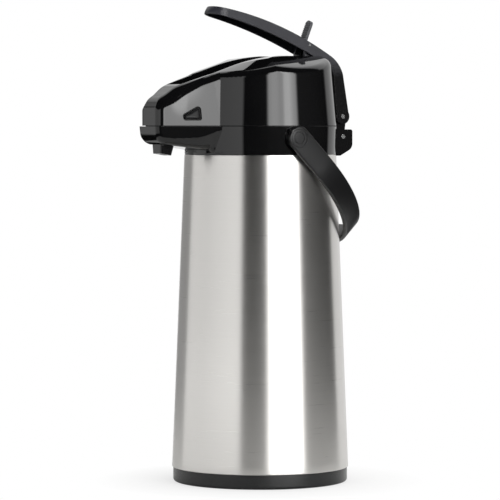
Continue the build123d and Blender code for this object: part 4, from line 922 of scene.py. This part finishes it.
@dataclass
class SeamLip:
    """The low lip round the deck, which stands behind the seam and keeps light from shining through it."""

    # Its dull near black finish is painted shade of the seam.
    radius: float = 69.2
    inset: float = 2.9
    wall: float = 1.2
    low: float = 319.82
    high: float = 322.3
    turns: int = 1080
    # How sharply the nose's corner turns, and how far ahead a bearing points, as a sine, where the nose
    # begins.
    power: float = 40.0
    nose_bearing: float = 0.4
    crease: float = 40.0

    def outline(self, inset: float) -> np.ndarray:
        """Work out the reach from the axis by bearing: the larger of the head's circle and the nose.

        The nose is the nearer of its front line and its side line along each bearing. The two are joined by a
        mean of high power, so that the corner is round. The side line is where across times the reach is the
        half width plus slope times the distance back from the front, less the inset square to the line.

        Args:
            inset: distance that the outline is drawn in.

        Returns:
            Points in order, as rows of x and y.
        """
        turn = np.linspace(0, 2 * math.pi, self.turns, endpoint=False)
        # A bearing to the rear, which has no nose, counts as just ahead of level, so nothing divides by 0.
        across, ahead = np.abs(np.cos(turn)), np.maximum(-np.sin(turn), 1e-6)
        front = (-NOSE_FRONT - inset) / ahead
        half = NOSE_HALF_WIDTH - NOSE_SLOPE * NOSE_FRONT - inset * math.hypot(1, NOSE_SLOPE)
        side = half / (across + NOSE_SLOPE * ahead)
        nose = (front ** -self.power + side ** -self.power) ** (-1 / self.power)
        reach = np.maximum(np.where(ahead > self.nose_bearing, nose, 0.0), self.radius - inset)
        return np.stack([reach * np.cos(turn), reach * np.sin(turn)], axis=1)

    def build(self) -> None:
        """Join the outer and inner outline into a closed band, with its faces outward."""
        outer, inner = self.outline(self.inset), self.outline(self.inset + self.wall)
        edges = [(outer, self.low), (outer, self.high), (inner, self.high), (inner, self.low)]
        points = np.stack([np.column_stack([edge, np.full(self.turns, z)]) for edge, z in edges], axis=1) * MM
        mesh = ring_mesh("seam_lip", points, looped=True, crease=self.crease)
        # The lip's near black is painted shade of the seam.
        place("seam_lip", mesh, Polish.GAP_SHADE, "vessel")


@dataclass
class ButtonFace:
    """A release button's dished face, with a rim round a thumb hollow, and a band of painted shade in its
    gap.
    """

    # 1 for the airpot's right side and -1 for its left.
    side: int
    body: str
    front: float = -91.4
    rear: float = -74.6
    low: float = 326.7
    high: float = 341.0
    slope: float = 0.54
    radii: tuple[float, float, float, float] = (2.0, 3.0, 2.2, 2.4)
    # The face leans out by this many degrees about this height.
    lean: float = 5.0
    lean_height: float = 333.0
    # Inset from the opening and rise over the wall, and, for the dish, share of the rim's size and rise.
    rim: tuple[tuple[float, float], ...] = (
        (1.4, -1.0), (1.4, 0.5), (1.52, 0.78), (1.75, 0.9), (1.995, 0.86), (1.995, 0.78))
    dish: tuple[tuple[float, float], ...] = ((0.86, 0.5), (0.7, 0.36), (0.45, 0.3), (0.2, 0.28), (0.02, 0.28))
    # For the near black band of painted shade in the gap: inset from the opening and rise over the wall.
    gap_shade: tuple[tuple[float, float], ...] = ((0.04, -0.95), (1.28, -0.95), (1.28, -1.1), (0.04, -1.1))

    def ring(self, inset: float, rise: float) -> np.ndarray:
        """Draw the opening's outline, a rectangle whose top slopes down to the front.

        Args:
            inset: distance that the outline is drawn in.
            rise: how far it stands over the wall.

        Returns:
            Rows of y, z and rise.
        """
        middle = self.high - self.slope * (self.rear - self.front)
        corners = np.array([(self.rear, self.low), (self.rear, self.high), (self.front, middle),
                            (self.front, self.low)])
        outline = rounded_outline(corners, np.array(self.radii), inset)
        return np.column_stack([outline, np.full(len(outline), rise)])

    def stand(self, rings: list[np.ndarray], lean: float) -> np.ndarray:
        """Stand rings on the nose's wall, where x is the wall's plus the rise, and bend them with the head.

        Args:
            rings: rings of rows of y, z and rise.
            lean: degrees that they lean out.

        Returns:
            Rings of points in metres, in the order that turns their faces outward.
        """
        y, z, rise = np.moveaxis(np.stack(rings), -1, 0)
        wall = NOSE_HALF_WIDTH + NOSE_SLOPE * (y - NOSE_FRONT)
        x = self.side * (wall + rise + math.tan(math.radians(lean)) * (z - self.lean_height))
        points = HEAD.move(np.stack([x, y, z], axis=-1).reshape(-1, 3)).reshape(*y.shape, 3)
        return points[:, ::-self.side] * MM

    def build(self) -> None:
        """Stack rings from the button's body over the rim into the dish, then lay painted shade in the gap.
        """
        rings = [self.ring(*row) for row in self.rim]
        centre, edge = rings[-1].mean(axis=0), rings[-1]
        for share, rise in self.dish:
            drawn = centre + (edge - centre) * share
            drawn[:, 2] = rise
            rings.append(drawn)
        name = f"button_face_{self.body}"
        place(name, ring_mesh(name, self.stand(rings, self.lean), looped=False), Polish.BUTTON, self.body)
        # A near black band in the gap round the button: painted shade.
        name = f"button_gap_shade_{self.body}"
        band = self.stand([self.ring(*row) for row in self.gap_shade], 0.0)
        place(name, ring_mesh(name, band, looped=True), Polish.GAP_SHADE, "lid")


class PackedPieces:
    """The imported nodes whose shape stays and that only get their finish."""

    finishes: dict[Polish, tuple[str, ...]] = {
        Polish.BASE: ("base_cap",), Polish.NOZZLE: ("nozzle",), Polish.TAB: ("lock_tab",),
        Polish.INNER: ("thread_ring", "mouth_deck", "tube_carrier", "lid_floor", "pump_plate"),
        Polish.PLUNGER: ("plunger",), Polish.TUBE: ("dip_tube",),
        Polish.SILVER: ("flask_outer", "flask_inner"),
        Polish.PAD: ("flask_spacers",), Polish.FOOT: ("foot_ring", "liner_cushion"),
        Polish.SEAL: ("neck_seal", "carrier_seal", "lid_gasket", "air_valve"),
        Polish.BELLOWS: ("bellows",), Polish.PIPE: ("spout_pipe",),
        Polish.SPRING: ("return_spring", "button_spring_left", "button_spring_right"),
        Polish.PIN: ("lid_pin", "lever_pin", "tab_pin"), Polish.PIVOT: ("bail_pins",),
        Polish.SCREW: ("deck_screws", "lid_screws")}

    def build(self) -> None:
        """Dress each node."""
        for finish, names in self.finishes.items():
            for name in names:
                dress(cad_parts[name], finish)
                LOG.info("%s: dressed as %s", name, finish.value.name)


# Studio

@dataclass
class Studio:
    """The table, the surroundings that the steel and the gloss mirror, the lamp and the camera."""

    # The camera's place in metres, its bearing from the airpot in degrees, its focal length in pixels of a
    # picture this many pixels wide, and how far it aims beside and below the level line to the axis.
    camera_place: tuple[float, float, float] = (2.349, -1.468, 0.3226)
    camera_bearing: float = -32.0
    focal_pixels: float = 3056.0
    frame_pixels: float = 500.0
    sensor: float = 36.0
    aim_left: float = 0.00327
    aim_down: float = 0.0409
    # Brightness of the walls and of the softbox by bearing from the camera, positive to the picture's right,
    # and the heights in degrees over which each begins at its foot and ends at its top.
    walls: tuple[tuple[float, float], ...] = (
        (-180, 1.0), (-167, 1.0), (-165, 0.30), (-124, 0.30), (-122, 0.84), (-83, 0.94), (-28, 1.3),
        (-24, 0.0), (62, 0.11), (92, 0.05), (122, 0.0), (128, 0.75), (180, 0.75))
    walls_foot: tuple[float, float] = (-14.0, -8.0)
    walls_top: tuple[float, float] = (28.0, 22.0)
    softbox: tuple[tuple[float, float], ...] = (
        (-180, 0.0), (9.5, 0.0), (14.0, 0.9), (20.0, 1.04), (26, 1.02), (31, 0.9), (35, 0.95), (39, 1.45),
        (46, 1.5), (52, 1.1), (57, 0.86), (61, 0.0), (180, 0.0))
    softbox_foot: tuple[float, float] = (-1.8, -1.2)
    softbox_top: tuple[float, float] = (31.0, 28.0)
    softbox_strength: float = 5.5
    # The ceiling is lit behind the airpot, from this far away from the camera and this high up.
    ceiling_away: tuple[float, float] = (-0.36, -0.46)
    ceiling_foot: tuple[float, float] = (22.0, 28.0)
    dimmest: float = 0.012
    # Metres. The table is plain white to the camera past its glow's outer radius, and mostly so inside it.
    table_radius: float = 0.56
    table_sides: int = 96
    table_tones: tuple[str, str] = ("#f4f4f3", "#f7f7f6")
    table_speckle: float = 0.0025
    glow_radii: tuple[float, float] = (0.085, 0.15)
    glow_inside: float = 0.72
    overhead_place: tuple[float, float, float] = (0.3, 0.2, 1.9)
    overhead_size: float = 1.6
    overhead_watts: float = 16.0

    def panel(self, sheet: Sheet, bearing: Feed, height: Feed, stops: tuple[tuple[float, float], ...],
              borders: tuple[tuple[float, float], tuple[float, float]]) -> bpy.types.Node:
        """Light a band of the room: a brightness by bearing, times a share by height at each border.

        Args:
            sheet: the world's node tree.
            bearing: bearing from the camera.
            height: height over the horizon.
            stops: bearings from -180 to 180 and the brightness at each.
            borders: heights where the band is dark and where it is lit, at its foot and at its top.

        Returns:
            The brightness.
        """
        share = sheet.add("ShaderNodeMapRange", {"Value": bearing, "From Min": -180.0, "From Max": 180.0})
        lit = sheet.add("ShaderNodeValToRGB", {"Fac": share})
        elements = lit.color_ramp.elements
        for stop, _ in stops[1:-1]:
            elements.new((stop + 180) / 360)
        for element, (_, level) in zip(elements, stops):
            element.color = (level, level, level, 1.0)
        for dark, full in borders:
            edge = sheet.add("ShaderNodeMapRange", {"Value": height, "From Min": dark, "From Max": full})
            lit = sheet.add("ShaderNodeMath", {0: lit, 1: edge}, operation="MULTIPLY")
        return lit

    def surroundings(self) -> None:
        """Build the world: white to the eye, and to everything else the walls, softbox and ceiling.

        The bearing is the angle of y over x less the camera's, and the height is the arc sine of z.
        """
        world = bpy.data.worlds.new("studio_walls")
        world.use_nodes = True
        bpy.context.scene.world = world
        sheet = Sheet(world.node_tree)
        way = sheet.add("ShaderNodeTexCoord").outputs["Generated"]
        parts = sheet.add("ShaderNodeSeparateXYZ", {0: way}).outputs
        turned = sheet.add("ShaderNodeMath", {0: parts["Y"], 1: parts["X"]}, operation="ARCTAN2")
        turned = sheet.add("ShaderNodeMath", {0: turned}, operation="DEGREES")
        turned = sheet.add("ShaderNodeMath", {0: turned, 1: self.camera_bearing}, operation="SUBTRACT")
        bearing = sheet.add("ShaderNodeMath", {0: turned, 1: 180.0, 2: -180.0}, operation="WRAP")
        raised = sheet.add("ShaderNodeMath", {0: parts["Z"]}, operation="ARCSINE")
        height = sheet.add("ShaderNodeMath", {0: raised}, operation="DEGREES")
        walls = self.panel(sheet, bearing, height, self.walls, (self.walls_foot, self.walls_top))
        softbox = self.panel(sheet, bearing, height, self.softbox, (self.softbox_foot, self.softbox_top))
        turn = math.radians(self.camera_bearing)
        toward = sheet.add("ShaderNodeVectorMath", {0: way, 1: (math.cos(turn), math.sin(turn), 0.0)},
                           operation="DOT_PRODUCT").outputs["Value"]
        away = sheet.add("ShaderNodeMapRange", {"Value": toward, "From Min": self.ceiling_away[0],
                                                "From Max": self.ceiling_away[1]})
        above = sheet.add("ShaderNodeMapRange", {"Value": height, "From Min": self.ceiling_foot[0],
                                                 "From Max": self.ceiling_foot[1]})
        ceiling = sheet.add("ShaderNodeMath", {0: away, 1: above}, operation="MULTIPLY")
        level: Feed = self.dimmest
        for part, strength in ((walls, 1.0), (softbox, self.softbox_strength), (ceiling, 1.0)):
            level = sheet.add("ShaderNodeMath", {0: part, 1: strength, 2: level}, operation="MULTIPLY_ADD")
        room = sheet.add("ShaderNodeBackground", {"Color": WHITE, "Strength": level})
        white = sheet.add("ShaderNodeBackground", {"Color": WHITE, "Strength": 1.0})
        path = sheet.add("ShaderNodeLightPath").outputs
        seen = sheet.add("ShaderNodeMath", {0: path["Is Camera Ray"], 1: path["Is Transmission Ray"]},
                         operation="MAXIMUM")
        both = sheet.add("ShaderNodeMixShader", {0: seen, 1: room, 2: white})
        sheet.add("ShaderNodeOutputWorld", {"Surface": both})

    def laminate(self) -> bpy.types.Material:
        """Build the table's white laminate, which glows to the camera by its distance from the airpot.

        Returns:
            The material.
        """
        made = bpy.data.materials.new("white_table_laminate")
        made.use_nodes = True
        sheet = Sheet(made.node_tree)
        spot = sheet.add("ShaderNodeTexCoord").outputs["Object"]
        reach = sheet.add("ShaderNodeVectorMath", {0: spot}, operation="LENGTH").outputs["Value"]
        speckle = sheet.add("ShaderNodeTexNoise", {"Vector": spot, "Scale": 1 / self.table_speckle})
        tone = sheet.add("ShaderNodeMix", {"Factor": speckle, 6: linear(self.table_tones[0]),
                                           7: linear(self.table_tones[1])}, data_type="RGBA")
        matt = sheet.add("ShaderNodeBsdfDiffuse", {"Color": tone.outputs[2]})
        glow = sheet.add("ShaderNodeEmission", {"Color": WHITE, "Strength": 1.0})
        seen = sheet.add("ShaderNodeLightPath").outputs["Is Camera Ray"]
        spread = sheet.add("ShaderNodeMapRange", {"Value": reach, "From Min": self.glow_radii[0],
                                                  "From Max": self.glow_radii[1], "To Min": self.glow_inside})
        share = sheet.add("ShaderNodeMath", {0: seen, 1: spread}, operation="MULTIPLY")
        both = sheet.add("ShaderNodeMixShader", {0: share, 1: matt, 2: glow})
        sheet.add("ShaderNodeOutputMaterial", {"Surface": both})
        return made

    def table(self) -> None:
        """Build a round white table, its rim at radius times cosine and sine, that melts into the white."""
        turn = np.linspace(0, 2 * math.pi, self.table_sides, endpoint=False)
        rim = self.table_radius * np.stack([np.cos(turn), np.sin(turn), np.zeros_like(turn)], axis=1)
        mesh = bpy.data.meshes.new("table_top")
        mesh.from_pydata(rim.tolist(), [], [list(range(self.table_sides))])
        mesh.update()
        mesh.materials.append(self.laminate())
        put("table_top", mesh)

    def overhead(self) -> None:
        """Hang a soft lamp over the table, which lights the table and the tops but is not mirrored."""
        data = bpy.data.lights.new("overhead_softbox", "AREA")
        data.size, data.energy, data.specular_factor = self.overhead_size, self.overhead_watts, 0.0
        lamp = put("overhead_softbox", data)
        lamp.location = self.overhead_place
        lamp.visible_glossy = False

    def camera(self) -> None:
        """Stand the camera where the photograph was taken and aim it at the middle of the picture."""
        data = bpy.data.cameras.new("studio_camera")
        data.sensor_width = self.sensor
        data.lens = self.focal_pixels / self.frame_pixels * self.sensor
        data.clip_start, data.clip_end = 0.1, 50.0
        eye = put("studio_camera", data)
        turn = math.radians(self.camera_bearing)
        forward = Vector((-math.cos(turn), -math.sin(turn), 0.0))
        right = Vector((-math.sin(turn), math.cos(turn), 0.0))
        aim = forward - right * self.aim_left - Vector((0.0, 0.0, self.aim_down))
        eye.location = self.camera_place
        eye.rotation_euler = aim.to_track_quat("-Z", "Y").to_euler()
        bpy.context.scene.camera = eye

    def build(self) -> None:
        """Build the whole studio."""
        self.surroundings()
        self.table()
        self.overhead()
        self.camera()
        bpy.context.scene.view_settings.view_transform = "Standard"


def main() -> None:
    """Build every sub-assembly in order, then the studio."""
    logging.basicConfig(level=logging.INFO, format="%(name)s: %(message)s")
    PackedPieces().build()
    SteelBody().build()
    Collar("collar", "hull_collar", "vessel", "black_gloss", Polish.GLOSS).build()
    HEAD.build()
    Lever("lever", "round_tipped_lever", "lever", "lever_plastic", Polish.LEVER, finest=1.6).build()
    for side in ("left", "right"):
        HeadShape(f"release_button_{side}", f"bent_button_{side}", f"button_{side}", "button_plastic",
                  Polish.BUTTON, finest=6.0).build()
    SeamLip().build()
    ButtonFace(1, "button_right").build()
    ButtonFace(-1, "button_left").build()
    Bail().build()
    Studio().build()


if __name__ == "__main__":
    main()
